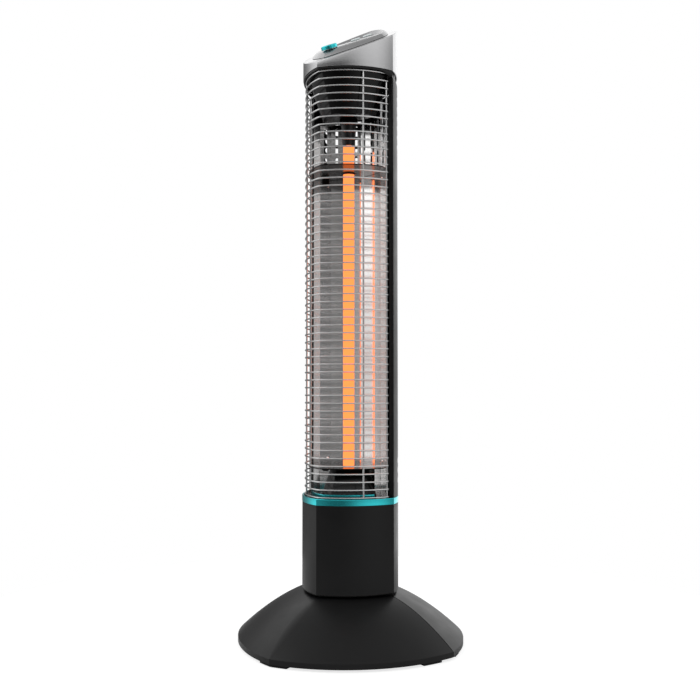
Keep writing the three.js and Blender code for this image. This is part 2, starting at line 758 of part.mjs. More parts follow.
// The y of the reflector's back face at a distance x from the middle
function reflectorBackAt(x) {
  const fold = reflectorFolds.findIndex(([foldX]) => foldX > x);
  const [x0, y0] = reflectorFolds[fold - 1];
  const [x1, y1] = reflectorFolds[fold];
  return y0 + (y1 - y0) * (x - x0) / (x1 - x0) + sheet;
}

function addRailsAndWiring() {
  const bottom = chamberFloor;
  const top = ceilingUnder - seatGap;
  const frontY = reflectorBackAt(railX - railWidth / 2) + railGap;
  const railSize = [railWidth, railDepth, top - bottom];
  for (const [name, x] of [['reflector_rail_left', -railX], ['reflector_rail_right', railX]]) {
    add(name, 'steel', box(railSize, [x, frontY + railDepth / 2, (bottom + top) / 2]));
  }
  const cutoffY = reflectorBackAt(0) + seatGap + cutoffSize[1] / 2;
  add('thermal_cutoff', 'ceramic', box(cutoffSize, [0, cutoffY, dividerBottom - cutoffDrop]));
  const conduitBottom = turntableTop + columnFloorThickness - conduitEntry;
  const conduitTop = capBottom + conduitRise;
  add('wiring_conduit', 'rubber', cylinder(conduitRadius, conduitBottom, conduitTop, 0, conduitY, 12));
}

// ---- Housing, grille and top -----------------------------------------------------------------------

function outwardsFrom(way, height) {
  const mark = new THREE.Object3D();
  const angle = alongSide(way);
  const arc = sideArc(towerPlan, 0);
  const reach = arc.centre + arc.radius;
  mark.position.set(reach * Math.cos(angle), reach * Math.sin(angle), height);
  mark.rotation.set(0, 0, angle);
  mark.updateMatrix();
  return mark.matrix;
}

const housingScrews = [1.5, 2.5].flatMap((way) => [
  [way, housingBottom + housingScrewMargin],
  [way, housingTop - housingScrewMargin],
]);

// A screw lying along +X with its head outside, `grow` larger all round
function housingScrew(grow) {
  const screw = join([
    cylinder(screwHeadRadius + grow, -housingScrewSunk - grow, housingScrewProud + grow, 0, 0, 12),
    cylinder(screwRadius + grow, -housingScrewLength, 0, 0, 0, 12),
  ]);
  return screw.rotateY(Math.PI / 2);
}

function addHousing() {
  const shell = planWall(towerPlan, 0, housingWall, housingBottom, housingTop);
  const height = housingTop - housingBottom;
  const middle = (housingTop + housingBottom) / 2;
  const reach = 3 * towerPlan.corner;
  const rear = box([2 * reach, reach, 2 * housingTop], [0, seatGap + reach / 2, 0]);
  const flangeX = towerPlan.corner - housingWall - flangeReach / 2;
  const flanges = [-1, 1].map((side) => {
    return box([flangeReach, flangeDepth, height], [side * flangeX, seatGap + flangeDepth / 2, middle]);
  });
  const vents = [];
  const addVents = (start, step, rows) => {
    for (let row = 0; row < rows; row++) {
      for (const way of [1.5, 2.5]) {
        for (const column of [-0.5, 0.5]) {
          const slot = box([cutDepth, ventWidth, ventHeight], [0, column * ventColumnPitch, 0]);
          vents.push(slot.applyMatrix4(outwardsFrom(way, start + step * row * ventPitch)));
        }
      }
    }
  };
  addVents(housingBottom + ventMargin, 1, ventRowsLow);
  addVents(housingTop - ventMargin, -1, ventRowsHigh);
  const screwsGrownBy = (grow) => {
    return housingScrews.map(([way, z]) => housingScrew(grow).applyMatrix4(outwardsFrom(way, z)));
  };
  const whole = join([common(shell, rear), ...flanges]);
  add('rear_housing', 'blackPlastic', cut(whole, [...vents, ...screwsGrownBy(seatGap)]));
  screwsGrownBy(0).forEach((screw, i) => add(`housing_screw_${i + 1}`, 'steel', screw));
}

// One grille wire's centre line: round both front sides, with a kink at the front corner
class WireLine extends THREE.Curve {
  constructor(height) {
    super();
    this.height = height;
  }

  getPoint(share, target = new THREE.Vector3()) {
    const p = planPoint(grillePlan, 0, wireEndShare * (2 * share - 1));
    return target.set(p.x, p.y, this.height);
  }
}

function addGrille() {
  const section = new THREE.Shape(Array.from({ length: wireSides }, (_, i) => {
    const angle = 2 * Math.PI * i / wireSides;
    return new THREE.Vector2(wireRadius * Math.cos(angle), wireRadius * Math.sin(angle));
  }));
  const wires = Array.from({ length: wireCount }, (_, i) => {
    const extrudePath = new WireLine(firstWire + i * wirePitch);
    return new THREE.ExtrudeGeometry(section, { steps: 2 * wireSideSteps, bevelEnabled: false, extrudePath });
  });
  const stayInset = wireRadius + stayRadius - weldDepth;
  const bars = stays.flatMap(([share, ...joined]) => [share, -share].map((way) => {
    const [bottom, top] = joined.map((i) => firstWire + i * wirePitch);
    const p = planPoint(grillePlan, stayInset, way);
    return cylinder(stayRadius, bottom - stayEnd, top + stayEnd, p.x, p.y, staySides);
  }));
  add('grille', 'steel', join([...wires.map(outward), ...bars]));
}

function addTopFrame() {
  const inner = frameInset + frameWall;
  const rise = frameHeight - frameFrontHeight;
  const edgeAt = (y) => frameBottom + rise * (1 - THREE.MathUtils.smoothstep(y, ...frameSlope));
  const cup = skin([
    planRing(towerPlan, inner, ceilingUnder),
    planRing(towerPlan, inner, edgeAt),
    planRing(towerPlan, frameInset, edgeAt),
    planRing(towerPlan, frameInset, frameTop),
  ], false);
  const hole = cylinder(conduitRadius + seatGap, frameBottom, frameTop + fitGap, 0, conduitY, 12);
  add('top_frame', 'blackPlastic', cut(cup, [hole]));
}

// A place on the pod's sloping flat: a group whose +Z is the flat's normal
function onPod(y) {
  const place = new THREE.Group();
  place.position.set(0, y, podFlatAt(y));
  place.rotation.set(podTilt, 0, 0);
  place.updateMatrix();
  return place;
}

function onCap(y, drop) {
  const place = new THREE.Group();
  place.position.set(0, y + drop * Math.sin(capTilt), capTopAt(y) - drop * Math.cos(capTilt));
  place.rotation.set(capTilt, 0, 0);
  place.updateMatrix();
  return place;
}

// The roof of the pod's hollow is an oval, long from front to back
function roofRing(height) {
  return planOutline(towerPlan).map((p) => {
    const angle = Math.atan2(p.x, -p.y);
    const y = -podRoofHalfLength * Math.cos(angle);
    const x = podRoofHalfWidth * Math.sin(angle);
    return new THREE.Vector3(x, y, height(y));
  });
}

// A hole square to the pod's flat for something of this radius that turns or slides in it
function controlHole(radius, y) {
  return cylinder(radius + runningGap, -cutDepth, cutDepth, 0, 0, 24).applyMatrix4(onPod(y).matrix);
}

function addCap() {
  const under = (y) => capTopAt(y) - capWall / Math.cos(capTilt);
  const shell = skin([
    planRing(towerPlan, capWall, under),
    planRing(towerPlan, capWall, capBottom),
    planRing(towerPlan, 0, capBottom),
    planRing(towerPlan, 0, capTopAt),
  ], false);
  const postPlaces = [-1, 1].flatMap((side) => [-1, 1].map((end) => [side, end]));
  const posts = postPlaces.map(([side, end]) => {
    const place = onCap(boardMiddleY, 0);
    const x = side * (boardWidth / 2 - postRadius);
    const y = end * (boardLength / 2 - postRadius);
    return cylinder(postRadius, -(boardDrop - seatGap), -capWall / 2, x, y, 10).applyMatrix4(place.matrix);
  });
  const shaftHole = controlHole(knobShaftRadius, knobY);
  const stemHoles = buttonYs.map((y) => controlHole(stemRadius, y));
  add('cap_shell', 'silver', cut(join([shell, ...posts]), [shaftHole, ...stemHoles]));
}

function addPod() {
  const pod = towerBow(podCorner);
  const ridge = towerBow(podRidgeCorner);
  const seat = (y) => capTopAt(y) + seatGap;
  const shoulderUnder = (y) => (seat(y) + podRidgeAt(y)) / 2 - podWall;
  const flatUnder = (y) => podFlatAt(y) - podWall;
  const shell = skin([
    roofRing(flatUnder),
    planRing(pod, 2 * podWall, shoulderUnder),
    planRing(pod, podWall, seat),
    planRing(pod, 0, seat),
    planRing(ridge, 0, podRidgeAt),
    planRing(ridge, podRidgeWidth, podRidgeAt),
    planRing(ridge, podDishEdge, podFlatAt),
  ], false);
  const buttonHoles = buttonYs.map((y) => controlHole(buttonRadius, y));
  add('control_pod', 'greyPlastic', cut(shell, [controlHole(knobShaftRadius, knobY), ...buttonHoles]));
}

function addKnob() {
  const place = onPod(knobY);
  heater.add(place);
  const bore = knobShaftRadius + seatGap;
  const top = runningGap + knobHeight;
  const boreTop = top - knobTopThickness;
  add('knob', 'teal', turned([
    [bore, runningGap], [knobRadius, runningGap], [knobRadius, top - knobChamfer],
    [knobRadius - knobChamfer, top], [0, top], [0, boreTop], [bore, boreTop], [bore, runningGap],
  ], 28), place);
  const shaftTop = boreTop - seatGap;
  const shaftBottom = shaftTop - knobShaftLength;
  add('knob_shaft', 'steel', cylinder(knobShaftRadius, shaftBottom, shaftTop, 0, 0, 14), place);
  const switchTop = capTopAt(knobY) - podFlatAt(knobY) - capWall - switchGap;
  const body = box([switchSize, switchSize, switchDepth], [0, 0, switchTop - switchDepth / 2]);
  const switchBore = cylinder(knobShaftRadius + runningGap, shaftBottom - runningGap, top, 0, 0, 14);
  add('rotary_switch', 'blackPlastic', cut(body, [switchBore]), place);
}

function addButtons() {
  const shoulder = buttonRise - buttonChamfer;
  buttonYs.forEach((y, i) => {
    const place = onPod(y);
    heater.add(place);
    const stemLength = podFlatAt(y) - capTopAt(y) + boardDrop - buttonTravel - stemGap;
    add(`button_${i + 1}`, 'paleTeal', turned([
      [0, buttonRise], [buttonRadius - buttonChamfer, buttonRise], [buttonRadius, shoulder],
      [buttonRadius, shoulder - buttonSkirt], [stemRadius, shoulder - buttonSkirt], [stemRadius, -stemLength],
      [0, -stemLength],
    ], 22), place);
  });
}

function addControlBoard() {
  const place = onCap(boardMiddleY, boardDrop);
  heater.add(place);
  const slab = box([boardWidth, boardLength, boardThickness], [0, 0, -boardThickness / 2]);
  const relayMiddle = seatGap - boardThickness - boardRelaySize[2] / 2;
  add('control_board', 'board', join([slab, box(boardRelaySize, [0, boardRelayY, relayMiddle])]), place);
}

// ---- Assembly --------------------------------------------------------------------------------------

addBaseShells();
addBasePlate();
addFeet();
addBallast();
addHub();
addBaseInnards();
addGland();
addBaseScrews();
addSwivel();
addColumn();
addPowerBoard();
addCollar();
addLamp();
addReflectors();
addChamberShelves();
addHoods();
addRailsAndWiring();
addHousing();
addGrille();
addTopFrame();
addCap();
addPod();
addKnob();
addButtons();
addControlBoard();

export default heater;
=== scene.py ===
# Infrared patio heater tower: the finished look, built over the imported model. Shapes are in millimetres,
# and become metres where a mesh is made. The camera, lights and floor are in metres. +Z is up and the
# tower's front corner points to -Y.
import math

import bmesh
import bpy
import numpy as np
from mathutils import Matrix, Vector


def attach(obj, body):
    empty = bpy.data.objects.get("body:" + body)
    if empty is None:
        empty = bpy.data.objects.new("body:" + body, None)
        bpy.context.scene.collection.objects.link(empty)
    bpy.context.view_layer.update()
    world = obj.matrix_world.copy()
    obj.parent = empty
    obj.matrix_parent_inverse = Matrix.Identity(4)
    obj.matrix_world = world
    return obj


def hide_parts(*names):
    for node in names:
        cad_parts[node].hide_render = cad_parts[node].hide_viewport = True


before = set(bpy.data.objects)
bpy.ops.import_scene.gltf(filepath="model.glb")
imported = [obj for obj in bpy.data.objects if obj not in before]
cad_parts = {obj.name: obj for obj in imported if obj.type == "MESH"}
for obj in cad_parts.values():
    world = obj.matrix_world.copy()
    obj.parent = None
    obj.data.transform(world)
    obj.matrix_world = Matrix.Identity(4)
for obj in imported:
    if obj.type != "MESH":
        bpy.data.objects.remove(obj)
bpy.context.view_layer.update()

MM = 0.001

# ---- Sizes -----------------------------------------------

AXIS = 1e-4                   # the least radius of a turned ring
# Bowed squares: corner distance, bow of each side
TOWER = (70.6, 13.2)
GRILLE = (66.6, 12.2)
RIM = (158.2, 35.0)
FOOT_HEIGHT = 3.0
RIM_TOP = 9.5
DOME_SHOULDER = 66.0
DOME_TOP = 65.2
DOME_HANDLES = ((0.8126, 0.2873), (0.4117, 0.8169))      # the dome's bend: share outwards, share up
DOME_STEPS = 30
DOME_OPENING = 50.0
DOME_WALL = 2.2
RIDGE = (1.2, 26)             # the dome's corner radius: at its edges, and how much more between them
SEAM = 1.1                    # gap between the dome's halves
COLUMN_BOTTOM = 67.2
COLUMN_TOP = 181.4
COLUMN_EDGE = 2.4             # radius of the lower edge
COLUMN_WALL = 2.6
GROOVE_DEPTH = 0.9            # of the column's groove at the side corners
GROOVE_HALF = 0.16
COLLAR_TOP = 189.4
COLLAR_PROUD = 0.3
COLLAR_WALL = 2.4
CHAMBER_FLOOR = 189.1
LIP = (57.0, 4.8, 2.4)        # corner distance, height, wall
LIP_END = -15.0               # y of its square ends
WIRE_RADIUS = 1.0
WIRE_PITCH = 10.0
WIRE_COUNT = 56
WIRE_END = 0.965              # share of a side that the wires reach
WIRE_BEND = 3.0               # radius at the front corner
FIRST_WIRE = 190.7
STAY_RADIUS = 1.2
STAY_SINK = 0.6               # how far a stay sinks into the wires
STAY_OVERHANG = 1.3
STAYS = ((0.6, 0, 55), (0.945, 0, 54), (0.86, 49, 51))      # share of a side, first and last wire joined
LAMP_Y = -3.0
TUBE_RADIUS = 7.35
TUBE_WALL = 1.2
TUBE = (206.0, 682.0)         # bottom, top
UPPER_HOLDER = (655.4, 690.1)
LOWER_HOLDER = (COLLAR_TOP, 224.2)
HOLDER_BORE = 7.65
FOLDS = ((0, 24.5), (26.6, 19.1), (41.9, 12.1), (54.9, 4.0), (61.0, -2.4))      # right half, from above
SHEET = 0.9
STUD_RADIUS = 1.7
STUD_HEIGHTS = (234.5, 610.0)
DIVIDER_BOTTOM = 618.1
LOWER_PLATE_BOTTOM = 226.3
PLATE = 1.4                   # thickness of the divider and of the plate over the lower hood
PLATE_INSET = 3.9             # from the grille to a plate's front edge
PLATE_HOLE = 9.75
TAB = (10.0, 9.5, 2.5)        # width, drop, corner radius
UPPER_SHEET = (619.8, 694.8)
SLOT_ROWS = ((5.2, 24.0), (34.2, 36.0))      # lift above the upper sheet's lower edge, height
SLOT_COLUMNS = 8
SLOT_PITCH = 14
SLOT_WIDTH = 4.0
LOWER_HOOD = (COLLAR_TOP, 226.0, 42.0, 28.0)      # bottom, top, corner at the bottom, corner at the top
UPPER_HOOD = (690.4, 742.4, 41.0, 60.5)
HOOD_BACK = 2.5
HOOD_WALL = 1.5
HOUSING_TOP = 737.2
HOUSING_WALL = 2.0
HOUSING_EDGE = 0.3            # y where the housing ends at the side corners
HOUSING_FLANGE = 7.0
HOUSING_BROW = (1.6, 6)       # rounding of its upper edge: inwards, down
VENT = (25.0, 8.5)            # length, height
VENT_COLUMNS = (-15, 15)
VENT_PITCH = 13
VENT_MARGIN = 20              # from the housing's end to the first row
VENT_ROWS = (3, 6)            # low, high
SCREW_MARGIN = 9              # from the housing's end to a screw
SCREW_HEAD = (3.8, 1.9)       # radius, height
FRAME_BOTTOM = 737.5
FRAME_FRONT = 742.1           # the frame's lower edge over the grille
FRAME_SLOPE = (-16, -6)       # y where that edge starts to drop, and where it has dropped
FRAME_TOP = 744.7
CEILING_UNDER = 742.7
CAP_BOTTOM = 745.0
CAP_MIDDLE = 793.3
CAP_SLOPE = 0.567
POD_CORNER = 57.0
POD_RIDGE = 51.0              # corner of the ridge round the pod's top
POD_LIFT = (5.9, 0.01, 2.8)   # ridge over the cap: on the axis, rise to the back, more at both ends
POD_DISH = 3.2                # from the ridge to the flat inside it
POD_FLAT = (799.2, 0.512)     # height on the axis, rise from front to back
POD_GAP = 0.3
KNOB_Y = -44.0
KNOB_RIBS = 24
BUTTON_YS = (13.0, 40.5)
BUTTON_HOLE = 7.2
# Radius of each piece's upright corners
CORNERS = {"column": 0.9, "collar": 0.6, "lip": 0.8, "hood": 1.5, "housing": 2.0, "frame": 0.8, "cap": 0.7,
           "pod": 1.0}


def cap_top(y):
    return CAP_MIDDLE + CAP_SLOPE * y


def pod_ridge(y):
    middle, rise, ends = POD_LIFT
    return cap_top(y) + middle + rise * y + ends * (y / POD_RIDGE) ** 2


def pod_flat(y):
    return POD_FLAT[0] + POD_FLAT[1] * y


# ---- Camera and studio -----------------------------------

CAMERA_PLACE = (0.7409, -0.9716, 0.3294)
CAMERA_TURN = math.radians(37.33)
CAMERA_PITCH = 0.0423
LENS = 47.0


def make_camera():
    data = bpy.data.cameras.new("camera")
    data.lens = LENS
    data.sensor_width = 36.0
    camera = bpy.data.objects.new("camera", data)
    camera.location = CAMERA_PLACE
    camera.rotation_euler = (math.pi / 2 + CAMERA_PITCH, 0, CAMERA_TURN)
    bpy.context.collection.objects.link(camera)
    bpy.context.scene.camera = camera


make_camera()
bpy.context.scene.view_settings.view_transform = "Standard"


class Nodes:
    """A shorthand for building a node tree."""

    def __init__(self, tree):
        self.tree = tree
        tree.nodes.clear()

    def add(self, kind, **settings):
        node = self.tree.nodes.new(kind)
        for key, value in settings.items():
            if key in node.inputs:
                node.inputs[key].default_value = value
            else:
                setattr(node, key, value)
        return node

    def link(self, source, target):
        self.tree.links.new(source, target)

    def maths(self, operation, first, second, third=None):
        node = self.add("ShaderNodeMath", operation=operation)
        for socket, value in zip(node.inputs, (first, second, third)):
            if value is None:
                continue
            if isinstance(value, (int, float)):
                socket.default_value = value
            else:
                self.link(value, socket)
        return node.outputs[0]

    def ramp(self, factor, stops):
        node = self.add("ShaderNodeValToRGB")
        elements = node.color_ramp.elements
        while len(elements) > 1:
            elements.remove(elements[-1])
        for index, (place, colour) in enumerate(stops):
            element = elements[0] if index == 0 else elements.new(place)
            element.position = place
            level = colour if isinstance(colour, tuple) else (colour, colour, colour)
            element.color = (*level, 1)
        self.link(factor, node.inputs["Fac"])
        return node.outputs["Color"]

    def mix(self, factor, first, second):
        """The first shader where the factor is 0, and the second where it is 1."""
        node = self.add("ShaderNodeMixShader")
        for source, target in zip((factor, first.outputs[0], second.outputs[0]), node.inputs):
            self.link(source, target)
        return node.outputs[0]


# Brightness of the studio round the horizon: [bearing in degrees from +X, level]. Soft panels stand at the
# left, at the right and behind, and the room in front is darker.
HORIZON = (
    (-180, 0.64), (-172, 0.92), (-164, 1.14), (-150, 1.22), (-134, 0.95), (-108, 0.42), (-95, 0.29),
    (-86, 0.19), (-77, 0.13), (-68, 0.10), (-59, 0.11), (-50, 0.20), (-41, 0.40), (-32, 0.62), (-23, 0.78),
    (-14, 0.86), (-5, 0.88), (3, 0.81), (12, 0.62), (21, 0.36), (32, 0.25), (50, 0.45), (68, 1.00),
    (84, 1.40), (110, 1.45), (120, 1.05), (129, 0.35), (138, 0.20), (152, 0.15), (170, 0.34), (180, 0.60),
)
BRIGHTEST = 1.5               # level that a ramp's white stands for
# How far the studio keeps its contrast at each height: [upward part of the direction, share]
CONTRAST = ((-0.11, 1.0), (-0.07, 0.5), (0.05, 0.5), (0.13, 0.8), (0.20, 1.0))
HAZE = 0.20                   # level that the rest fades to
# The sky by height: how far it takes over from the panels, and its own level
SKY_SHARE = ((0.37, 0.0), (0.44, 0.85), (0.50, 1.0))
SKY_LEVEL = ((0.30, 1.50), (0.62, 1.30), (0.80, 0.75), (1.0, 0.60))


def by_height(stops, white=1.0):
    """Stops by the upward part of the direction, as a ramp from straight down to straight up."""
    return [(0.5 + 0.5 * height, level / white) for height, level in stops]


def make_world():
    world = bpy.data.worlds.new("studio")
    bpy.context.scene.world = world
    world.use_nodes = True
    n = Nodes(world.node_tree)
    split = n.add("ShaderNodeSeparateXYZ")
    n.link(n.add("ShaderNodeTexCoord").outputs["Generated"], split.inputs[0])
    bearing = n.maths("ARCTAN2", split.outputs["Y"], split.outputs["X"])
    turn = n.maths("MULTIPLY_ADD", bearing, 1 / (2 * math.pi), 0.5)
    around = n.ramp(turn, [((degrees + 180) / 360, level / BRIGHTEST) for degrees, level in HORIZON])
    level = n.maths("MULTIPLY", around, BRIGHTEST)
    lift = n.maths("MULTIPLY_ADD", split.outputs["Z"], 0.5, 0.5)
    share = n.ramp(lift, by_height(CONTRAST))
    hazy = n.maths("MULTIPLY_ADD", n.maths("SUBTRACT", level, HAZE), share, HAZE)
    overhead = n.ramp(lift, by_height(SKY_SHARE))
    sky = n.maths("MULTIPLY", n.ramp(lift, by_height(SKY_LEVEL, BRIGHTEST)), BRIGHTEST)
    mixed = n.maths("MULTIPLY_ADD", n.maths("SUBTRACT", sky, hazy), overhead, hazy)
    studio = n.add("ShaderNodeBackground")
    n.link(mixed, studio.inputs["Color"])
    white = n.add("ShaderNodeBackground", Color=(1, 1, 1, 1), Strength=1.0)
    path = n.add("ShaderNodeLightPath")
    seen = n.maths("MAXIMUM", path.outputs["Is Camera Ray"], path.outputs["Is Transmission Ray"])
    n.link(n.mix(seen, studio, white), n.add("ShaderNodeOutputWorld").inputs["Surface"])


def make_light(name, place, target, size, power):
    data = bpy.data.lights.new(name, "AREA")
    data.shape = "RECTANGLE"
    data.size, data.size_y = size
    data.energy = power
    light = bpy.data.objects.new(name, data)
    light.location = place
    light.rotation_euler = (Vector(target) - Vector(place)).to_track_quat("-Z", "Y").to_euler()
    bpy.context.collection.objects.link(light)


FLOOR_RADIUS = 0.6


def make_floor():
    """A pale disc that the camera sees as white with a soft shade under the base."""
    mesh = bpy.data.meshes.new("floor")
    disc = bmesh.new()
    bmesh.ops.create_circle(disc, cap_ends=True, radius=FLOOR_RADIUS, segments=96)
    disc.to_mesh(mesh)
    disc.free()
    floor = bpy.data.objects.new("floor", mesh)
    floor.location.z = -0.0003
    bpy.context.collection.objects.link(floor)
    material = bpy.data.materials.new("floor")
    material.use_nodes = True
    n = Nodes(material.node_tree)
    pale = n.add("ShaderNodeBsdfDiffuse", Color=(0.72, 0.72, 0.72, 1))
    soft = n.add("ShaderNodeBsdfDiffuse", Color=(0.40, 0.40, 0.40, 1))
    glow = n.add("ShaderNodeEmission", Color=(1, 1, 1, 1), Strength=0.76)
    both = n.add("ShaderNodeAddShader")
    n.link(soft.outputs[0], both.inputs[0])
    n.link(glow.outputs[0], both.inputs[1])
    seen = n.add("ShaderNodeLightPath").outputs["Is Camera Ray"]
    n.link(n.mix(seen, pale, both), n.add("ShaderNodeOutputMaterial").inputs["Surface"])
    mesh.materials.append(material)


make_world()
make_floor()
make_light("key", (-1.1, -1.7, 2.3), (0, 0, 0.45), (1.5, 1.5), 8)


# ---- Materials -------------------------------------------

def principled(name, roughness, metallic=0.0, **sockets):
    """A material with a Principled shader whose even values sit on its own sockets."""
    material = bpy.data.materials.new(name)
    material.use_nodes = True
    n = Nodes(material.node_tree)
    shader = n.add("ShaderNodeBsdfPrincipled")
    shader.inputs["Metallic"].default_value = metallic
    shader.inputs["Roughness"].default_value = roughness
    for socket, value in sockets.items():
        shader.inputs[socket].default_value = value
    n.link(shader.outputs[0], n.add("ShaderNodeOutputMaterial").inputs["Surface"])
    return material, n, shader


def noise(n, scale, detail, stretch=None):
    """Noise in the object's own space, in waves per metre."""
    texture = n.add("ShaderNodeTexNoise", Scale=scale, Detail=detail)
    place = n.add("ShaderNodeTexCoord").outputs["Object"]
    if stretch:
        mapping = n.add("ShaderNodeMapping")
        mapping.inputs["Scale"].default_value = stretch
        n.link(place, mapping.inputs["Vector"])
        place = mapping.outputs["Vector"]
    n.link(place, texture.inputs["Vector"])
    return texture.outputs["Fac"]


NOISE_SPAN = (0.3, 0.7)       # the levels of the noise that get a finish's least and greatest value


def vary_colour(n, shader, factor, dark, light):
    n.link(n.ramp(factor, zip(NOISE_SPAN, (dark, light))), shader.inputs["Base Color"])


def vary_roughness(n, shader, factor, low, high):
    spread = n.add("ShaderNodeMapRange")
    for socket, value in zip(("From Min", "From Max", "To Min", "To Max"), (*NOISE_SPAN, low, high)):
        spread.inputs[socket].default_value = value
    n.link(factor, spread.inputs["Value"])
    n.link(spread.outputs["Result"], shader.inputs["Roughness"])


def add_bump(n, shader, factor, strength, depth):
    bump = n.add("ShaderNodeBump", Strength=strength, Distance=depth * MM)
    n.link(factor, bump.inputs["Height"])
    n.link(bump.outputs["Normal"], shader.inputs["Normal"])


def scaled(colour, by):
    return tuple(min(1.0, part * by) for part in colour)


def moulded(name, colour, roughness, grain=1400, depth=0.04, strength=0.15, specular=0.5):
    """Moulded plastic: faint mottling, uneven gloss and a fine spark-eroded grain."""
    material, n, shader = principled(name, roughness, **{"Specular IOR Level": specular})
    vary_colour(n, shader, noise(n, 22, 3), scaled(colour, 0.93), scaled(colour, 1.08))
    vary_roughness(n, shader, noise(n, 45, 4), roughness - 0.03, roughness + 0.04)
    add_bump(n, shader, noise(n, grain, 3), strength, depth)
    return material


def metal(name, colour, roughness, metallic=1.0, stretch=(1, 1, 0.02), scale=600, strength=0.03,
          spread=0.02):
    """Rolled or brushed metal: long faint marks along its length and patchy gloss."""
    material, n, shader = principled(name, roughness, metallic)
    vary_colour(n, shader, noise(n, 14, 2), scaled(colour, 0.98), scaled(colour, 1.02))
    vary_roughness(n, shader, noise(n, 25, 2), roughness - spread, roughness + spread)
    add_bump(n, shader, noise(n, scale, 2, stretch), strength, 0.02)
    return material


def painted_metal(name, colour, roughness, metallic):
    """Metallic paint: soft flake and faint orange peel."""
    material, n, shader = principled(name, roughness, metallic)
    vary_colour(n, shader, noise(n, 900, 2), scaled(colour, 0.975), scaled(colour, 1.025))
    vary_roughness(n, shader, noise(n, 40, 3), roughness - 0.02, roughness + 0.02)
    add_bump(n, shader, noise(n, 260, 2), 0.03, 0.02)
    return material


def glowing(name, colour, deep, strength):
    """A hot lamp tube: an even glow, redder than white can be, with a trace of the winding inside it."""
    material, n, shader = principled(name, 0.2)
    shader.inputs["Base Color"].default_value = (0.02, 0.01, 0.005, 1)
    winding = n.add("ShaderNodeTexWave", wave_type="BANDS", bands_direction="Z", Scale=180.0,
                    Distortion=0.4)
    n.link(n.add("ShaderNodeTexCoord").outputs["Object"], winding.inputs["Vector"])
    n.link(n.ramp(winding.outputs["Fac"], ((0.0, deep), (1.0, colour))), shader.inputs["Emission Color"])
    shader.inputs["Emission Strength"].default_value = strength
    vary_roughness(n, shader, noise(n, 90, 2), 0.16, 0.24)
    shader.inputs["Specular IOR Level"].default_value = 0.0
    return material


def circuit(name):
    """Green board with a fine pattern of tracks."""
    material, n, shader = principled(name, 0.45)
    cells = n.add("ShaderNodeTexVoronoi", Scale=260.0, distance="MANHATTAN")
    n.link(n.add("ShaderNodeTexCoord").outputs["Object"], cells.inputs["Vector"])
    stops = ((0.0, (0.02, 0.16, 0.07)), (0.55, (0.012, 0.1, 0.04)), (0.7, (0.35, 0.3, 0.12)))
    n.link(n.ramp(cells.outputs["Distance"], stops), shader.inputs["Base Color"])
    add_bump(n, shader, cells.outputs["Distance"], 0.2, 0.05)
    return material


BLACK = (0.0068, 0.0068, 0.0070)
FINISHES = {
    "black_plastic": moulded("black_plastic", BLACK, 0.36, specular=0.22),
    "black_steel": moulded("black_steel", (0.004, 0.004, 0.004), 0.16, 900, 0.02, 0.05, 0.22),
    "foot_rubber": moulded("foot_rubber", (0.01, 0.01, 0.01), 0.85, 700, 0.1, 0.4, 0.3),
    "ballast_iron": moulded("ballast_iron", (0.05, 0.05, 0.052), 0.75, 300, 0.3, 0.6),
    "steel": metal("steel", (0.56, 0.57, 0.58), 0.3),
    "grille_wire": metal("grille_wire", (0.62, 0.62, 0.62), 0.22, 1.0, (1, 1, 1), 900, 0.02),
    "reflector_sheet": metal("reflector_sheet", (0.91, 0.90, 0.895), 0.14, strength=0.003, spread=0.004),
    "silver_cap": painted_metal("silver_cap", (0.50, 0.50, 0.505), 0.20, 0.95),
    "grey_panel": painted_metal("grey_panel", (0.34, 0.34, 0.345), 0.26, 0.85),
    "teal_trim": painted_metal("teal_trim", (0.045, 0.62, 0.67), 0.18, 0.95),
    "pale_button": moulded("pale_button", (0.88, 1.0, 1.0), 0.2, 900, 0.02, 0.1),
    "lamp_ceramic": moulded("lamp_ceramic", (0.006, 0.006, 0.0065), 0.25, 500, 0.05, 0.15, 0.4),
    "quartz": glowing("quartz", (1.0, 0.216, 0.056), (1.0, 0.202, 0.050), 2.0),
    "carbon": glowing("carbon", (1.0, 0.2, 0.04), (0.8, 0.12, 0.02), 1.0),
    "circuit_board": circuit("circuit_board"),
}


# ---- Meshes ----------------------------------------------

def mesh_object(name, vertices, faces):
    mesh = bpy.data.meshes.new(name)
    mesh.from_pydata([tuple(float(part) * MM for part in v) for v in vertices], [], faces)
    mesh.update()
    obj = bpy.data.objects.new(name, mesh)
    bpy.context.collection.objects.link(obj)
    return obj


def apply_modifiers(obj):
    """Turns an object's modifiers into plain mesh."""
    graph = bpy.context.evaluated_depsgraph_get()
    mesh = bpy.data.meshes.new_from_object(obj.evaluated_get(graph))
    obj.modifiers.clear()
    obj.data = mesh


def face_outwards(obj):
    shape = bmesh.new()
    shape.from_mesh(obj.data)
    bmesh.ops.remove_doubles(shape, verts=shape.verts, dist=1e-6)
    bmesh.ops.recalc_face_normals(shape, faces=shape.faces)
    shape.to_mesh(obj.data)
    shape.free()


def thicken(obj, wall):
    """Gives an open surface a wall towards its inside."""
    solidify = obj.modifiers.new("wall", "SOLIDIFY")
    solidify.thickness = wall * MM
    solidify.offset = -1
    solidify.use_even_offset = True
    apply_modifiers(obj)


def soften(obj, width, angle=35, segments=2):
    """Rounds the sharp edges, unless the width is 0, and shades the piece smoothly."""
    if width:
        bevel = obj.modifiers.new("edges", "BEVEL")
        bevel.width = width * MM
        bevel.segments = segments
        bevel.limit_method = "ANGLE"
        bevel.angle_limit = math.radians(angle)
        bevel.miter_outer = "MITER_ARC"
    obj.data.polygons.foreach_set("use_smooth", [True] * len(obj.data.polygons))
    weighted = obj.modifiers.new("shading", "WEIGHTED_NORMAL")
    weighted.keep_sharp = True
    weighted.weight = 60
    apply_modifiers(obj)
    return obj


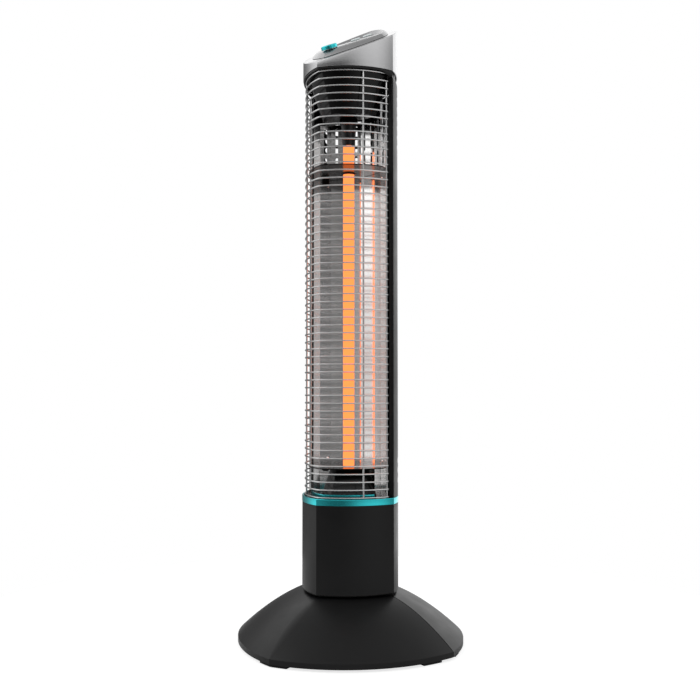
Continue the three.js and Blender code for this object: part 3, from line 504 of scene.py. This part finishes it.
def carve(obj, cutters):
    """Cuts the cutters out of the piece and removes them."""
    bpy.ops.object.select_all(action="DESELECT")
    for cutter in cutters:
        cutter.select_set(True)
    bpy.context.view_layer.objects.active = cutters[0]
    if len(cutters) > 1:
        bpy.ops.object.join()
    tool = bpy.context.view_layer.objects.active
    cut = obj.modifiers.new("cut", "BOOLEAN")
    cut.operation = "DIFFERENCE"
    cut.solver = "EXACT"
    cut.object = tool
    apply_modifiers(obj)
    bpy.data.objects.remove(tool)


def dress(obj, slot, *nodes, body="tower"):
    """Gives a piece its finish, its body, and the nodes that it stands for."""
    obj.data.materials.clear()
    obj.data.materials.append(FINISHES[slot])
    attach(obj, body)
    if nodes:
        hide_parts(*nodes)


def loft(name, rings, closed_rings=True, closed_profile=False, caps=(False, False)):
    """A skin over rings of equally many points."""
    count = len(rings[0])
    vertices = [point for ring in rings for point in ring]
    faces = []
    levels = len(rings) if closed_profile else len(rings) - 1
    across = count if closed_rings else count - 1
    for level in range(levels):
        low = level * count
        high = (level + 1) % len(rings) * count
        for i in range(across):
            j = (i + 1) % count
            faces.append((low + i, low + j, high + j, high + i))
    if caps[0]:
        faces.append(tuple(reversed(range(count))))
    if caps[1]:
        faces.append(tuple(range((len(rings) - 1) * count, len(rings) * count)))
    obj = mesh_object(name, vertices, faces)
    face_outwards(obj)
    return obj


def walled(name, rings, way, wall, part=2):
    """An open skin with a wall inside it. The face at 1/part of its faces looks along `way`."""
    obj = loft(name, rings, closed_rings=False)
    faces = obj.data.polygons
    if faces[len(faces) // part].normal.dot(Vector(way)) < 0:
        obj.data.flip_normals()
    thicken(obj, wall)
    return obj


def lathe(name, profile, steps, at=(0, 0, 0), turn=None):
    """A turned piece from (radius, height) pairs. It is closed where its ends lie on the axis."""
    angles = [2 * math.pi * i / steps for i in range(steps)]
    rings = []
    for radius, height in profile:
        reach = max(radius, AXIS)
        rings.append([(reach * math.cos(a), reach * math.sin(a), height) for a in angles])
    obj = loft(name, rings, caps=(profile[0][0] < 0.01, profile[-1][0] < 0.01),
               closed_profile=profile[0] == profile[-1])
    place = Matrix.Translation(Vector(at) * MM)
    if turn is not None:
        place = place @ turn
    obj.data.transform(place)
    return obj


def tube(name, path, radius, sides):
    """A round bar along a path of points that lie level or upright."""
    path = [Vector(p) for p in path]
    rings = []
    for i, point in enumerate(path):
        along = (path[min(i + 1, len(path) - 1)] - path[max(i - 1, 0)]).normalized()
        up = Vector((0, 0, 1)) if abs(along.z) < 0.9 else Vector((1, 0, 0))
        side = along.cross(up).normalized()
        lift = side.cross(along).normalized()
        rings.append([
            point + radius * (math.cos(a) * side + math.sin(a) * lift)
            for a in (2 * math.pi * k / sides for k in range(sides))
        ])
    return loft(name, rings, caps=(True, True))


def joined(name, objects):
    bpy.ops.object.select_all(action="DESELECT")
    for obj in objects:
        obj.select_set(True)
    bpy.context.view_layer.objects.active = objects[0]
    bpy.ops.object.join()
    objects[0].name = name
    return objects[0]


# ---- The bowed square ------------------------------------

def side_arc(plan, inset=0.0):
    """The distance of a side's arc centre from the axis, and the arc's radius."""
    corner, bow = plan
    half = corner / math.sqrt(2)
    radius = (half ** 2 + bow ** 2) / (2 * bow)
    return half + bow - radius, radius - inset


def bowed(corner):
    """The tower's outline in another size."""
    return (corner, corner * TOWER[1] / TOWER[0])


def corner_reach(plan, inset, rounding):
    """Where a corner's rounding has its centre on the diagonal, and the half angle left of each side."""
    centre, radius = side_arc(plan, inset)
    across = centre / math.sqrt(2)
    reach = across + math.sqrt((radius - rounding) ** 2 - across ** 2)
    return reach, math.asin(reach / math.sqrt(2) / (radius - rounding))


def plan_point(plan, inset, way):
    """A point on the sharp outline. Way 0 is the front corner, 1 the right one and 2 the back one."""
    centre, radius = side_arc(plan, inset)
    half = corner_reach(plan, inset, 0.0)[1]
    side = math.floor(way)
    normal = -math.pi / 4 + side * math.pi / 2
    angle = normal + half * (2 * (way - side) - 1)
    return (centre * math.cos(normal) + radius * math.cos(angle),
            centre * math.sin(normal) + radius * math.sin(angle))


def side_points(plan, inset, side, start_round, end_round, steps):
    """The points of a side, between its ends' roundings."""
    centre, radius = side_arc(plan, inset)
    normal = -math.pi / 4 + side * math.pi / 2
    first = normal - corner_reach(plan, inset, start_round)[1]
    last = normal + corner_reach(plan, inset, end_round)[1]
    angles = np.linspace(first, last, steps + 1)
    middle = (centre * math.cos(normal), centre * math.sin(normal))
    return [(middle[0] + radius * math.cos(a), middle[1] + radius * math.sin(a)) for a in angles]


def corner_points(plan, inset, corner, rounding, steps):
    """The points of a corner's rounding, without those where it meets its sides."""
    diagonal = -math.pi / 2 + corner * math.pi / 2
    reach, half = corner_reach(plan, inset, rounding)
    spread = math.pi / 4 - half
    angles = np.linspace(diagonal - spread, diagonal + spread, steps + 1)[1:-1]
    middle = (reach * math.cos(diagonal), reach * math.sin(diagonal))
    return [(middle[0] + rounding * math.cos(a), middle[1] + rounding * math.sin(a)) for a in angles]


def outline(plan, inset, rounding, side_steps, corner_steps):
    """The whole outline with its corners rounded."""
    points = []
    for side in range(4):
        points += side_points(plan, inset, side, rounding, rounding, side_steps)
        points += corner_points(plan, inset, side + 1, rounding, corner_steps)
    return points


def front_outline(plan, inset, rounding, side_steps, corner_steps):
    """The two front sides, from the left corner by the front one to the right one."""
    return (side_points(plan, inset, -1, 0.0, rounding, side_steps)
            + corner_points(plan, inset, 0, rounding, corner_steps)
            + side_points(plan, inset, 0, rounding, 0.0, side_steps))


def raised(points, height):
    """Outline points at a height, which is a number or a function of y."""
    lift = height if callable(height) else (lambda y: height)
    return [(x, y, lift(y)) for x, y in points]


# ---- Base ------------------------------------------------

def dome_profile(steps):
    """(corner distance, bow, height) from the rim up to the shoulder."""
    knots = [(DOME_SHOULDER + out * (RIM[0] - DOME_SHOULDER), RIM_TOP + up * (DOME_TOP - RIM_TOP))
             for out, up in ((1, 0), *DOME_HANDLES, (0, 1))]
    rows = []
    for t in np.linspace(0, 1, steps + 1):
        weights = ((1 - t) ** 3, 3 * t * (1 - t) ** 2, 3 * t * t * (1 - t), t ** 3)
        corner = sum(w * k[0] for w, k in zip(weights, knots))
        height = sum(w * k[1] for w, k in zip(weights, knots))
        share = (corner - DOME_SHOULDER) / (RIM[0] - DOME_SHOULDER)
        bow = TOWER[1] / TOWER[0] + share * (RIM[1] / RIM[0] - TOWER[1] / TOWER[0])
        rows.append((corner, corner * bow, height))
    return rows


def ridge_rounding(share):
    """The front ridge is crisp at the rim and at the shoulder, and soft between them."""
    return RIDGE[0] + RIDGE[1] * math.sin(math.pi * min(1.0, share)) ** 0.8


def half_dome(name, turned_back):
    """One half of the base's shell, split along the ridges at both sides."""
    rows = [(*RIM, FOOT_HEIGHT), (*RIM, 6.0)] + dome_profile(DOME_STEPS)
    rings = []
    for index, (corner, bow, height) in enumerate(rows):
        share = max(0.0, index - 2) / DOME_STEPS
        points = front_outline((corner, bow), 0.0, ridge_rounding(share), 26, 8)
        rings.append([(x, min(y, -SEAM / 2), height) for x, y in points])
    opening = []
    for x, y, _ in rings[-1]:
        reach = math.hypot(x, y)
        opening.append((DOME_OPENING * x / reach, min(DOME_OPENING * y / reach, -SEAM / 2), DOME_TOP))
    rings.append(opening)
    if turned_back:
        rings = [[(-x, -y, z) for x, y, z in ring] for ring in rings]
    return soften(walled(name, rings, (0, 0, 1), DOME_WALL), 0.5, 38)


dress(half_dome("base_front", False), "black_plastic", "base_front_shell", body="base")
dress(half_dome("base_rear", True), "black_plastic", "base_rear_shell", body="base")


# ---- Column and collar -----------------------------------

def grooved(points):
    """Presses a narrow groove into an outline where it crosses the side corners."""
    return [(x - math.copysign(GROOVE_DEPTH, x), y) if abs(y) < GROOVE_HALF and abs(x) > 40 else (x, y)
            for x, y in points]


def column():
    rows = []
    for angle in np.linspace(0, math.pi / 2, 7):
        inset = COLUMN_EDGE * (1 - math.sin(angle))
        rows.append((inset, COLUMN_BOTTOM + COLUMN_EDGE * (1 - math.cos(angle))))
    rows += [(0.0, 75.0), (0.0, COLUMN_TOP - 6), (0.0, COLUMN_TOP - 0.5), (0.5, COLUMN_TOP),
             (COLUMN_WALL, COLUMN_TOP), (COLUMN_WALL, COLUMN_BOTTOM)]
    rings = [raised(grooved(outline(TOWER, inset, CORNERS["column"], 22, 6)), height)
             for inset, height in rows]
    return soften(loft("column", rings, closed_profile=True), 0)


def collar():
    rows = [(0.5, COLUMN_TOP), (-0.1, COLUMN_TOP), (-COLLAR_PROUD, COLUMN_TOP + 0.25),
            (-COLLAR_PROUD, COLLAR_TOP - 0.7), (-0.05, COLLAR_TOP - 0.15), (0.4, COLLAR_TOP),
            (COLLAR_WALL, COLLAR_TOP), (COLLAR_WALL, COLUMN_TOP)]
    rings = [raised(outline(TOWER, inset, CORNERS["collar"], 22, 4), height) for inset, height in rows]
    return soften(loft("teal_collar", rings, closed_profile=True), 0)


def collar_lip():
    """An upright teal strip that follows the two front sides and ends square."""
    corner, height, wall = LIP
    bottom, top = CHAMBER_FLOOR, CHAMBER_FLOOR + height
    rings = []
    for inset, level in ((0, bottom), (0, top), (wall, top), (wall, bottom)):
        points = front_outline(bowed(corner), inset, CORNERS["lip"], 26, 4)
        rings.append([(x, min(y, LIP_END), level) for x, y in points])
    limit = LIP_END - 1e-6
    keep = [i for i, (outer, inner) in enumerate(zip(rings[0], rings[3])) if min(outer[1], inner[1]) < limit]
    rings = [[ring[i] for i in keep] for ring in rings]
    obj = loft("teal_lip", rings, closed_rings=False, closed_profile=True)
    ends = bmesh.new()
    ends.from_mesh(obj.data)
    bmesh.ops.holes_fill(ends, edges=ends.edges)
    bmesh.ops.recalc_face_normals(ends, faces=ends.faces)
    ends.to_mesh(obj.data)
    ends.free()
    return soften(obj, 0.35, 40)


dress(column(), "black_plastic", "column_shell")
dress(collar(), "teal_trim", "collar")
dress(collar_lip(), "teal_trim", "collar_lip")


# ---- Grille ----------------------------------------------

def grille():
    """Level wires round the two front sides, with upright stays welded to their inside."""
    left, right = (plan_point(GRILLE, 0.0, way) for way in (-WIRE_END, WIRE_END))
    between = [p for p in front_outline(GRILLE, 0.0, WIRE_BEND, 18, 5) if p[1] < right[1]]
    bars = []
    for i in range(WIRE_COUNT):
        line = raised([left, *between, right], FIRST_WIRE + i * WIRE_PITCH)
        bars.append(tube(f"wire_{i}", line, WIRE_RADIUS, 10))
    inset = WIRE_RADIUS + STAY_RADIUS - STAY_SINK
    for share, first, last in STAYS:
        for way in (-share, share):
            x, y = plan_point(GRILLE, inset, way)
            bottom, top = (FIRST_WIRE + i * WIRE_PITCH for i in (first, last))
            path = [(x, y, z) for z in np.linspace(bottom - STAY_OVERHANG, top + STAY_OVERHANG, 12)]
            bars.append(tube(f"stay_{way}", path, STAY_RADIUS, 12))
    obj = joined("grille_wires", bars)
    return soften(obj, 0)


dress(grille(), "grille_wire", "grille")


# ---- Radiant chamber -------------------------------------

def fold_line():
    """The reflector's lit face seen from above, from its left edge to its right one."""
    return [(-x, y) for x, y in reversed(FOLDS[1:])] + list(FOLDS)


def folded_sheet(name, bottom, top):
    """An upright sheet with its lit face on the fold line. Its folds stay crisp."""
    line = fold_line()
    heights = [bottom, *np.linspace(bottom + 2, top - 2, 5), top]
    return walled(name, [raised(line, z) for z in heights], (0, -1, 0), SHEET)


def stud(x, y, z, facing):
    """A small domed stud on an upright face whose normal is `facing`."""
    bend = ((0, 0.55), (0.5, 0.47), (0.85, 0.25), (1, 0))
    dome = [(STUD_RADIUS * out, STUD_RADIUS * up) for out, up in bend]
    turn = Vector((*facing, 0)).to_track_quat("Z", "Y").to_matrix().to_4x4()
    return lathe("stud", [*dome, (STUD_RADIUS, -0.3), (0, -0.3)], 20, (x, y, z), turn)


def reflector_studs():
    """Studs at both ends of the reflector's third facets."""
    studs = []
    (x0, y0), (x1, y1) = FOLDS[2], FOLDS[3]
    x, y = x0 + 0.3 * (x1 - x0), y0 + 0.3 * (y1 - y0)
    slope = Vector((y1 - y0, -(x1 - x0))).normalized()
    for z in STUD_HEIGHTS:
        for side in (-1, 1):
            studs.append(stud(side * x, y, z, (side * slope.x, slope.y)))
    return studs


def main_reflector():
    sheet = folded_sheet("lower_sheet", COLLAR_TOP, DIVIDER_BOTTOM - 0.3)
    return joined("reflector_main", [sheet, *reflector_studs()])


def upper_reflector():
    sheet = folded_sheet("upper_sheet", *UPPER_SHEET)
    cutters = []
    for lift, height in SLOT_ROWS:
        for i in range(SLOT_COLUMNS):
            x = (i - (SLOT_COLUMNS - 1) / 2) * SLOT_PITCH
            cutters.append(round_slot(x, FOLDS[0][1], UPPER_SHEET[0] + lift, SLOT_WIDTH, height))
    carve(sheet, cutters)
    return sheet


def round_slot(x, y, bottom, width, height):
    """An upright cutter along Y with round ends, standing on `bottom`."""
    radius = width / 2
    face = []
    for centre, start in ((bottom + height - radius, 0.0), (bottom + radius, math.pi)):
        for a in np.linspace(start, start + math.pi, 7):
            face.append((x + radius * math.cos(a), centre + radius * math.sin(a)))
    rings = [[(px, y + reach, pz) for px, pz in face] for reach in (-20, 20)]
    return loft("slot", rings, caps=(True, True))


def plate_tab(under):
    """A tab with rounded lower corners that hangs in front of the reflector's left side."""
    width, drop, corner = TAB
    face = [(-width / 2, 0.7), (width / 2, 0.7)]
    for centre, start in ((width / 2 - corner, 0.0), (corner - width / 2, -math.pi / 2)):
        for a in np.linspace(start, start - math.pi / 2, 5):
            face.append((centre + corner * math.cos(a), corner - drop + corner * math.sin(a)))
    obj = loft("tab", [[(x, y, z) for x, z in face] for y in (-0.3, -1.5)], caps=(True, True))
    (x0, y0), (x1, y1) = FOLDS[2:4]
    place = Matrix.Translation(Vector((-(x0 + x1) / 2, (y0 + y1) / 2, under)) * MM)
    obj.data.transform(place @ Matrix.Rotation(math.atan2(y0 - y1, x1 - x0), 4, "Z"))
    return soften(obj, 0.15, 40)


def grommet(under):
    """The raised ring round the lamp's hole in a plate."""
    profile = [(7.6, under - 1.6), (8.8, under - 1.6), (9.6, under - 0.9), (10.4, under), (9.7, under + 0.3),
               (9.7, under + PLATE), (7.6, under + PLATE), (7.6, under - 1.6)]
    return soften(lathe("grommet", profile, 48, (0, LAMP_Y, 0)), 0)


def chamber_plate(name, under, reach):
    """A level plate with rounded edges, a raised ring round the lamp's hole and a tab below."""
    front = [plan_point(GRILLE, PLATE_INSET, way) for way in np.linspace(-0.9, 0.9, 49)]
    back = [(x, y + reach) for x, y in FOLDS[:-1]]
    shape = front + list(reversed(back)) + [(-x, y) for x, y in back[1:]]
    centre = Vector((0, LAMP_Y))
    inner = [tuple(centre + (Vector(p) - centre).normalized() * PLATE_HOLE) for p in shape]
    over = under + PLATE
    rings = [raised(inner, under), raised(shape, under), raised(shape, over), raised(inner, over)]
    obj = loft(name, rings, closed_profile=True)
    soften(obj, 0.3, 40)
    return joined(name, [obj, plate_tab(under), grommet(under)])


def hood_rings(small, opened, small_z, open_z):
    """The wide and the narrow ring of a tapering hood with bowed sides, open at its wide end and behind."""
    def ring(corner, height):
        points = front_outline(bowed(corner), 0.0, CORNERS["hood"], 22, 4)
        points = [(points[0][0], HOOD_BACK)] + points + [(points[-1][0], HOOD_BACK)]
        return raised(points, height)

    return [ring(opened, open_z), ring(small, small_z)]


def lower_hood():
    """The dark hood under the lower plate, with a level top that leaves room for the lamp."""
    bottom, top, wide, narrow = LOWER_HOOD
    rings = hood_rings(narrow, wide, top, bottom)
    reach = HOOD_BACK - LAMP_Y
    hole = TUBE_RADIUS + 1.0
    start = math.asin(min(1.0, reach / hole))
    angles = np.linspace(-math.pi - start, start, len(rings[0]))
    rings.append([(hole * math.cos(a), LAMP_Y + hole * math.sin(a), top) for a in angles])
    return soften(walled("hood_low", rings, (0, 0, 1), HOOD_WALL, 4), 0.5, segments=3)


def upper_hood():
    """The dark hood over the slotted sheet, closed below."""
    bottom, top, narrow, wide = UPPER_HOOD
    rings = hood_rings(narrow, wide, bottom, top)
    rings += [[(x * share, HOOD_BACK + (y - HOOD_BACK) * share, bottom) for x, y, _ in rings[1]]
              for share in (0.3, 0.02)]
    return soften(walled("hood_high", rings, (0, -1, 0), HOOD_WALL, 6), 0.5, segments=3)


def lamp_tube():
    bottom, top = TUBE
    inside = TUBE_RADIUS - TUBE_WALL
    heights = [bottom, bottom + 1, *np.linspace(bottom + 20, top - 20, 12), top - 1, top]
    profile = [(inside, bottom), *[(TUBE_RADIUS, z) for z in heights], (inside, top), (inside, bottom)]
    return soften(lathe("lamp_tube", profile, 48, (0, LAMP_Y, 0)), 0)


def upper_holder():
    """The socket at the lamp's upper end: a flange over a tapering sleeve."""
    bottom, top = UPPER_HOLDER
    profile = [(0, top), (12.2, top), (12.2, top - 4.6), (11.8, top - 5), (10.6, top - 5), (10.3, top - 5.6),
               (8.4, bottom + 1.2), (8.2, bottom + 0.3), (8.0, bottom), (HOLDER_BORE, bottom),
               (HOLDER_BORE, TUBE[1] + 0.3), (0, TUBE[1] + 0.3)]
    return soften(lathe("holder_high", profile, 48, (0, LAMP_Y, 0)), 0)


def lower_holder():
    bottom, top = LOWER_HOLDER
    profile = [(0, bottom), (11, bottom), (11, top - 0.6), (10.4, top), (HOLDER_BORE, top),
               (HOLDER_BORE, TUBE[0] - 0.3), (0, TUBE[0] - 0.3)]
    return soften(lathe("holder_low", profile, 48, (0, LAMP_Y, 0)), 0)


dress(main_reflector(), "reflector_sheet", "main_reflector")
dress(upper_reflector(), "reflector_sheet", "upper_reflector")
dress(chamber_plate("divider", DIVIDER_BOTTOM, SHEET + 2), "black_steel", "divider_plate")
dress(chamber_plate("plate_low", LOWER_PLATE_BOTTOM, -0.3), "black_steel", "lower_plate")
dress(lower_hood(), "black_steel", "lower_hood")
dress(upper_hood(), "black_steel", "upper_hood")
dress(lamp_tube(), "quartz", "quartz_tube")
dress(upper_holder(), "lamp_ceramic", "upper_lamp_holder")
dress(lower_holder(), "lamp_ceramic", "lower_lamp_holder")


# ---- Housing and top frame -------------------------------

def rear_outline(plan, inset, rounding, side_steps, corner_steps):
    """The two rear sides, from the right corner by the back one to the left one."""
    return [(-x, -y) for x, y in front_outline(plan, inset, rounding, side_steps, corner_steps)]


def outwards(way, height):
    """A frame on the tower's outside whose +X points out at the middle of a side."""
    angle = -math.pi / 4 + math.floor(way) * math.pi / 2
    centre, radius = side_arc(TOWER)
    reach = (centre + radius) * MM
    place = Matrix.Translation((reach * math.cos(angle), reach * math.sin(angle), height * MM))
    return place @ Matrix.Rotation(angle, 4, "Z")


def vent_slot(way, across, height):
    """A level cutter with round ends through the housing's wall."""
    length, width = VENT
    radius = width / 2
    points = []
    for end in (1, -1):
        centre = across + end * (length / 2 - radius)
        start = -end * math.pi / 2
        for a in np.linspace(start, start + math.pi, 7):
            points.append((centre + radius * math.cos(a), radius * math.sin(a)))
    obj = loft("vent", [[(reach, py, pz) for py, pz in points] for reach in (-20, 20)], caps=(True, True))
    obj.data.transform(outwards(way, height))
    return obj


def housing():
    """The shell over the two rear sides, with a flange turned in at each side corner."""
    inwards, down = HOUSING_BROW
    rows = [(0.5, COLLAR_TOP), (0.0, COLLAR_TOP + 0.5)] + [(0.0, z) for z in np.linspace(200, 730, 6)]
    for angle in np.linspace(0, math.pi / 2, 5)[1:]:
        rows.append((inwards * (1 - math.cos(angle)), HOUSING_TOP - down + down * math.sin(angle)))
    rings = []
    for inset, height in rows:
        points = rear_outline(TOWER, inset, CORNERS["housing"], 24, 5)
        points = [(x, max(y, HOUSING_EDGE)) for x, y in points]
        right = [(points[0][0] - reach, HOUSING_EDGE) for reach in (HOUSING_FLANGE, 0.6)]
        left = [(points[-1][0] + reach, HOUSING_EDGE) for reach in (0.6, HOUSING_FLANGE)]
        rings.append(raised([*right, *points, *left], height))
    obj = walled("housing", rings, (0, 1, 0), HOUSING_WALL)
    low, high = COLLAR_TOP + VENT_MARGIN, HOUSING_TOP - VENT_MARGIN
    cutters = []
    for way in (1.5, 2.5):
        for across in VENT_COLUMNS:
            cutters += [vent_slot(way, across, low + VENT_PITCH * row) for row in range(VENT_ROWS[0])]
            cutters += [vent_slot(way, across, high - VENT_PITCH * row) for row in range(VENT_ROWS[1])]
    carve(obj, cutters)
    return soften(obj, 0.35, 40)


def frame_edge(y):
    """The frame's lower edge is high over the grille and drops to the housing behind the side corners."""
    start, end = FRAME_SLOPE
    share = min(1.0, max(0.0, (y - start) / (end - start)))
    return FRAME_FRONT + (FRAME_BOTTOM - FRAME_FRONT) * share * share * (3 - 2 * share)


def top_frame():
    """The black frame between the grille and the cap, with its flat ceiling."""
    def ring(inset, rear_inset, height):
        front, rear = (outline(TOWER, reach, CORNERS["frame"], 22, 4) for reach in (inset, rear_inset))
        return raised([back if point[1] > 0 else point for point, back in zip(front, rear)], height)

    def over_edge(share):
        return lambda y: frame_edge(y) + share * (FRAME_TOP - 0.5 - frame_edge(y))

    rings = [
        ring(2.4, 2.4, CEILING_UNDER), ring(2.4, 2.4, over_edge(0.06)), ring(2.0, 2.0, frame_edge),
        ring(1.2, 1.9, frame_edge), ring(0.8, 1.8, over_edge(0.06)), ring(0.8, 2.6, over_edge(0.5)),
        ring(0.8, 4.2, FRAME_TOP - 0.5), ring(1.2, 5.0, FRAME_TOP),
    ]
    return soften(loft("frame_top", rings, caps=(True, True)), 0)


def screw_head(name, radius, height):
    """A pan head with a cross recess, facing +Z from z = 0."""
    profile = [(0, height), (radius * 0.55, height), (radius * 0.85, height * 0.8), (radius, height * 0.35),
               (radius, 0), (0, 0)]
    head = lathe(name, profile, 32)
    half, reach = 0.45, radius * 0.6
    points = [(-half, -reach), (half, -reach), (half, reach), (-half, reach)]
    for angle in (0, math.pi / 2):
        arm = loft("arm", [raised(points, z) for z in (height * 0.35, height + 1)], caps=(True, True))
        arm.data.transform(Matrix.Rotation(angle, 4, "Z"))
        carve(head, [arm])
    return head


def housing_screws():
    """A screw low and high on each rear side, sunk 1 mm into the housing."""
    sunk = Matrix.Translation((-MM, 0, 0)) @ Matrix.Rotation(math.pi / 2, 4, "Y")
    number = 0
    for way in (1.5, 2.5):
        for height in (COLLAR_TOP + SCREW_MARGIN, HOUSING_TOP - SCREW_MARGIN):
            number += 1
            head = screw_head(f"screw_back_{number}", *SCREW_HEAD)
            head.data.transform(outwards(way, height) @ sunk)
            soften(head, 0.1, 40, 1)
            dress(head, "steel", f"housing_screw_{number}")


dress(housing(), "black_plastic", "rear_housing")
dress(top_frame(), "black_plastic", "top_frame")
housing_screws()


# ---- Cap, pod and controls -------------------------------

def cap():
    """The silver cap: upright bowed walls, a sloping top and a bright bevel between them."""
    def ring(inset, height):
        return raised(outline(TOWER, inset, CORNERS["cap"], 24, 4), height)

    def below_top(depth):
        return lambda y: cap_top(y) - depth

    rings = [
        ring(2.2, CAP_BOTTOM + 3), ring(2.2, CAP_BOTTOM), ring(0.5, CAP_BOTTOM), ring(0.0, CAP_BOTTOM + 0.5),
        ring(0.0, lambda y: CAP_BOTTOM + 0.4 * (cap_top(y) - CAP_BOTTOM)), ring(0.0, below_top(1.5)),
        ring(0.35, below_top(0.5)), ring(1.1, cap_top), ring(9.0, cap_top), ring(20.0, cap_top),
    ]
    return soften(loft("cap", rings, caps=(True, True)), 0)


def on_pod(y):
    """A frame on the pod's sloping flat whose +Z is square to it."""
    place = Matrix.Translation((0, y * MM, pod_flat(y) * MM))
    return place @ Matrix.Rotation(math.atan(POD_FLAT[1]), 4, "X")


def pod():
    """The control panel: sloping sides up to a rounded ridge, and a flat that sinks below it at the back."""
    def ring(corner, inset, height):
        return raised(outline(bowed(corner), inset, CORNERS["pod"], 24, 4), height)

    def seat(y):
        return cap_top(y) + POD_GAP

    def side(share):
        return lambda y: seat(y) + share * (pod_ridge(y) - seat(y))

    def dish(share):
        return lambda y: pod_flat(y) + share * (pod_ridge(y) - pod_flat(y))

    lean = POD_CORNER - POD_RIDGE
    rings = [
        ring(POD_CORNER, 6.0, seat), ring(POD_CORNER, 0.4, seat),
        ring(POD_CORNER, 0.1, lambda y: seat(y) + 0.35),
        ring(POD_CORNER - 0.35 * lean, 0, side(0.45)), ring(POD_CORNER - 0.8 * lean, 0, side(0.85)),
        ring(POD_RIDGE, 0.0, side(0.97)), ring(POD_RIDGE, 0.5, pod_ridge), ring(POD_RIDGE, 1.0, pod_ridge),
        ring(POD_RIDGE, 1.4, dish(0.85)), ring(POD_RIDGE, POD_DISH - 0.4, dish(0.12)),
        ring(POD_RIDGE, POD_DISH, pod_flat), ring(POD_RIDGE, 12.0, pod_flat),
    ]
    obj = loft("pod", rings, caps=(True, True))
    cutters = []
    for y in BUTTON_YS:
        hole = lathe("hole", [(0, -5), (BUTTON_HOLE, -5), (BUTTON_HOLE, 8), (0, 8)], 40)
        hole.data.transform(on_pod(y))
        cutters.append(hole)
    carve(obj, cutters)
    return soften(obj, 0)


def knob():
    """The rotary knob: ribbed round its skirt, with a raised pointer on top."""
    steps = 4 * KNOB_RIBS
    # Radius, height, depth of the ribs
    rows = [(0, 0.5, 0), (11.0, 0.5, 0), (11.0, 1.2, 0), (10.85, 1.6, 0.25), (10.75, 4.2, 0.25),
            (10.3, 5.1, 0.1), (9.6, 5.5, 0), (8.6, 5.5, 0), (8.2, 5.2, 0), (0, 5.2, 0)]
    rings = []
    for radius, height, depth in rows:
        ring = []
        for i in range(steps):
            angle = 2 * math.pi * i / steps
            reach = max(radius - depth * (0.5 + 0.5 * math.cos(KNOB_RIBS * angle)), AXIS)
            ring.append((reach * math.cos(angle), reach * math.sin(angle), height))
        rings.append(ring)
    obj = loft("knob_cap", rings, caps=(True, True))
    pointer = lathe("pointer", [(0, 0.3), (1.0, 0.3), (1.3, 0.0), (1.3, -0.3), (0, -0.3)], 24)
    pointer.data.transform(Matrix.Translation((0, 5.6 * MM, 5.2 * MM)) @ Matrix.Diagonal((0.8, 1.9, 1, 1)))
    soften(obj, 0)
    obj = joined("knob_cap", [obj, pointer])
    obj.data.transform(on_pod(KNOB_Y))
    return obj


def button(name, y):
    """A domed push button on a short stem that stays clear of the cap when it is pressed."""
    profile = [(0, 2.4), (3.0, 2.38), (5.2, 2.25), (6.1, 1.95), (6.55, 1.5), (6.7, 1.0), (6.7, -0.2),
               (2.4, -0.2), (2.4, -1.5), (0, -1.5)]
    obj = lathe(name, profile, 48)
    soften(obj, 0)
    obj.data.transform(on_pod(y))
    return obj


def receiver():
    """The dark oval window and the small lamp beside it, near the flat's back right edge."""
    window = lathe("window", [(0, 0.5), (2.6, 0.4), (3.3, 0.15), (3.5, -0.8), (0, -0.8)], 40)
    window.data.transform(Matrix.Translation((9 * MM, 0, 0)) @ on_pod(36) @ Matrix.Diagonal((0.9, 1.1, 1, 1)))
    dot = lathe("dot", [(0, 0.5), (0.7, 0.4), (1.1, 0.1), (1.2, -0.5), (0, -0.5)], 24)
    dot.data.transform(Matrix.Translation((20 * MM, 0, 0)) @ on_pod(24))
    return joined("receiver", [window, dot])


dress(cap(), "silver_cap", "cap_shell")
dress(pod(), "grey_panel", "control_pod")
dress(knob(), "teal_trim", "knob", body="knob")
dress(button("button_front", BUTTON_YS[0]), "pale_button", "button_1", body="button_1")
dress(button("button_back", BUTTON_YS[1]), "pale_button", "button_2", body="button_2")
dress(receiver(), "lamp_ceramic")


# ---- The nodes that stay ---------------------------------

SLOT_NODES = {
    "black_plastic": ("base_hub", "turntable", "rotary_switch"),
    "black_steel": ("base_plate", "column_floor", "chamber_floor"),
    "foot_rubber": ("foot_front", "foot_right_front", "foot_right_rear", "foot_back", "foot_left_rear",
                    "foot_left_front", "cable_gland", "wiring_conduit"),
    "ballast_iron": ("ballast",),
    "steel": ("base_screw_1", "base_screw_2", "base_screw_3", "base_screw_4", "oscillation_motor",
              "knob_shaft", "reflector_rail_left", "reflector_rail_right"),
    "grey_panel": ("tip_switch", "terminal_block"),
    "lamp_ceramic": ("thermal_cutoff",),
    "carbon": ("filament",),
    "circuit_board": ("power_board", "control_board"),
}
for slot, names in SLOT_NODES.items():
    for name in names:
        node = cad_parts[name]
        node.data.materials.clear()
        node.data.materials.append(FINISHES[slot])
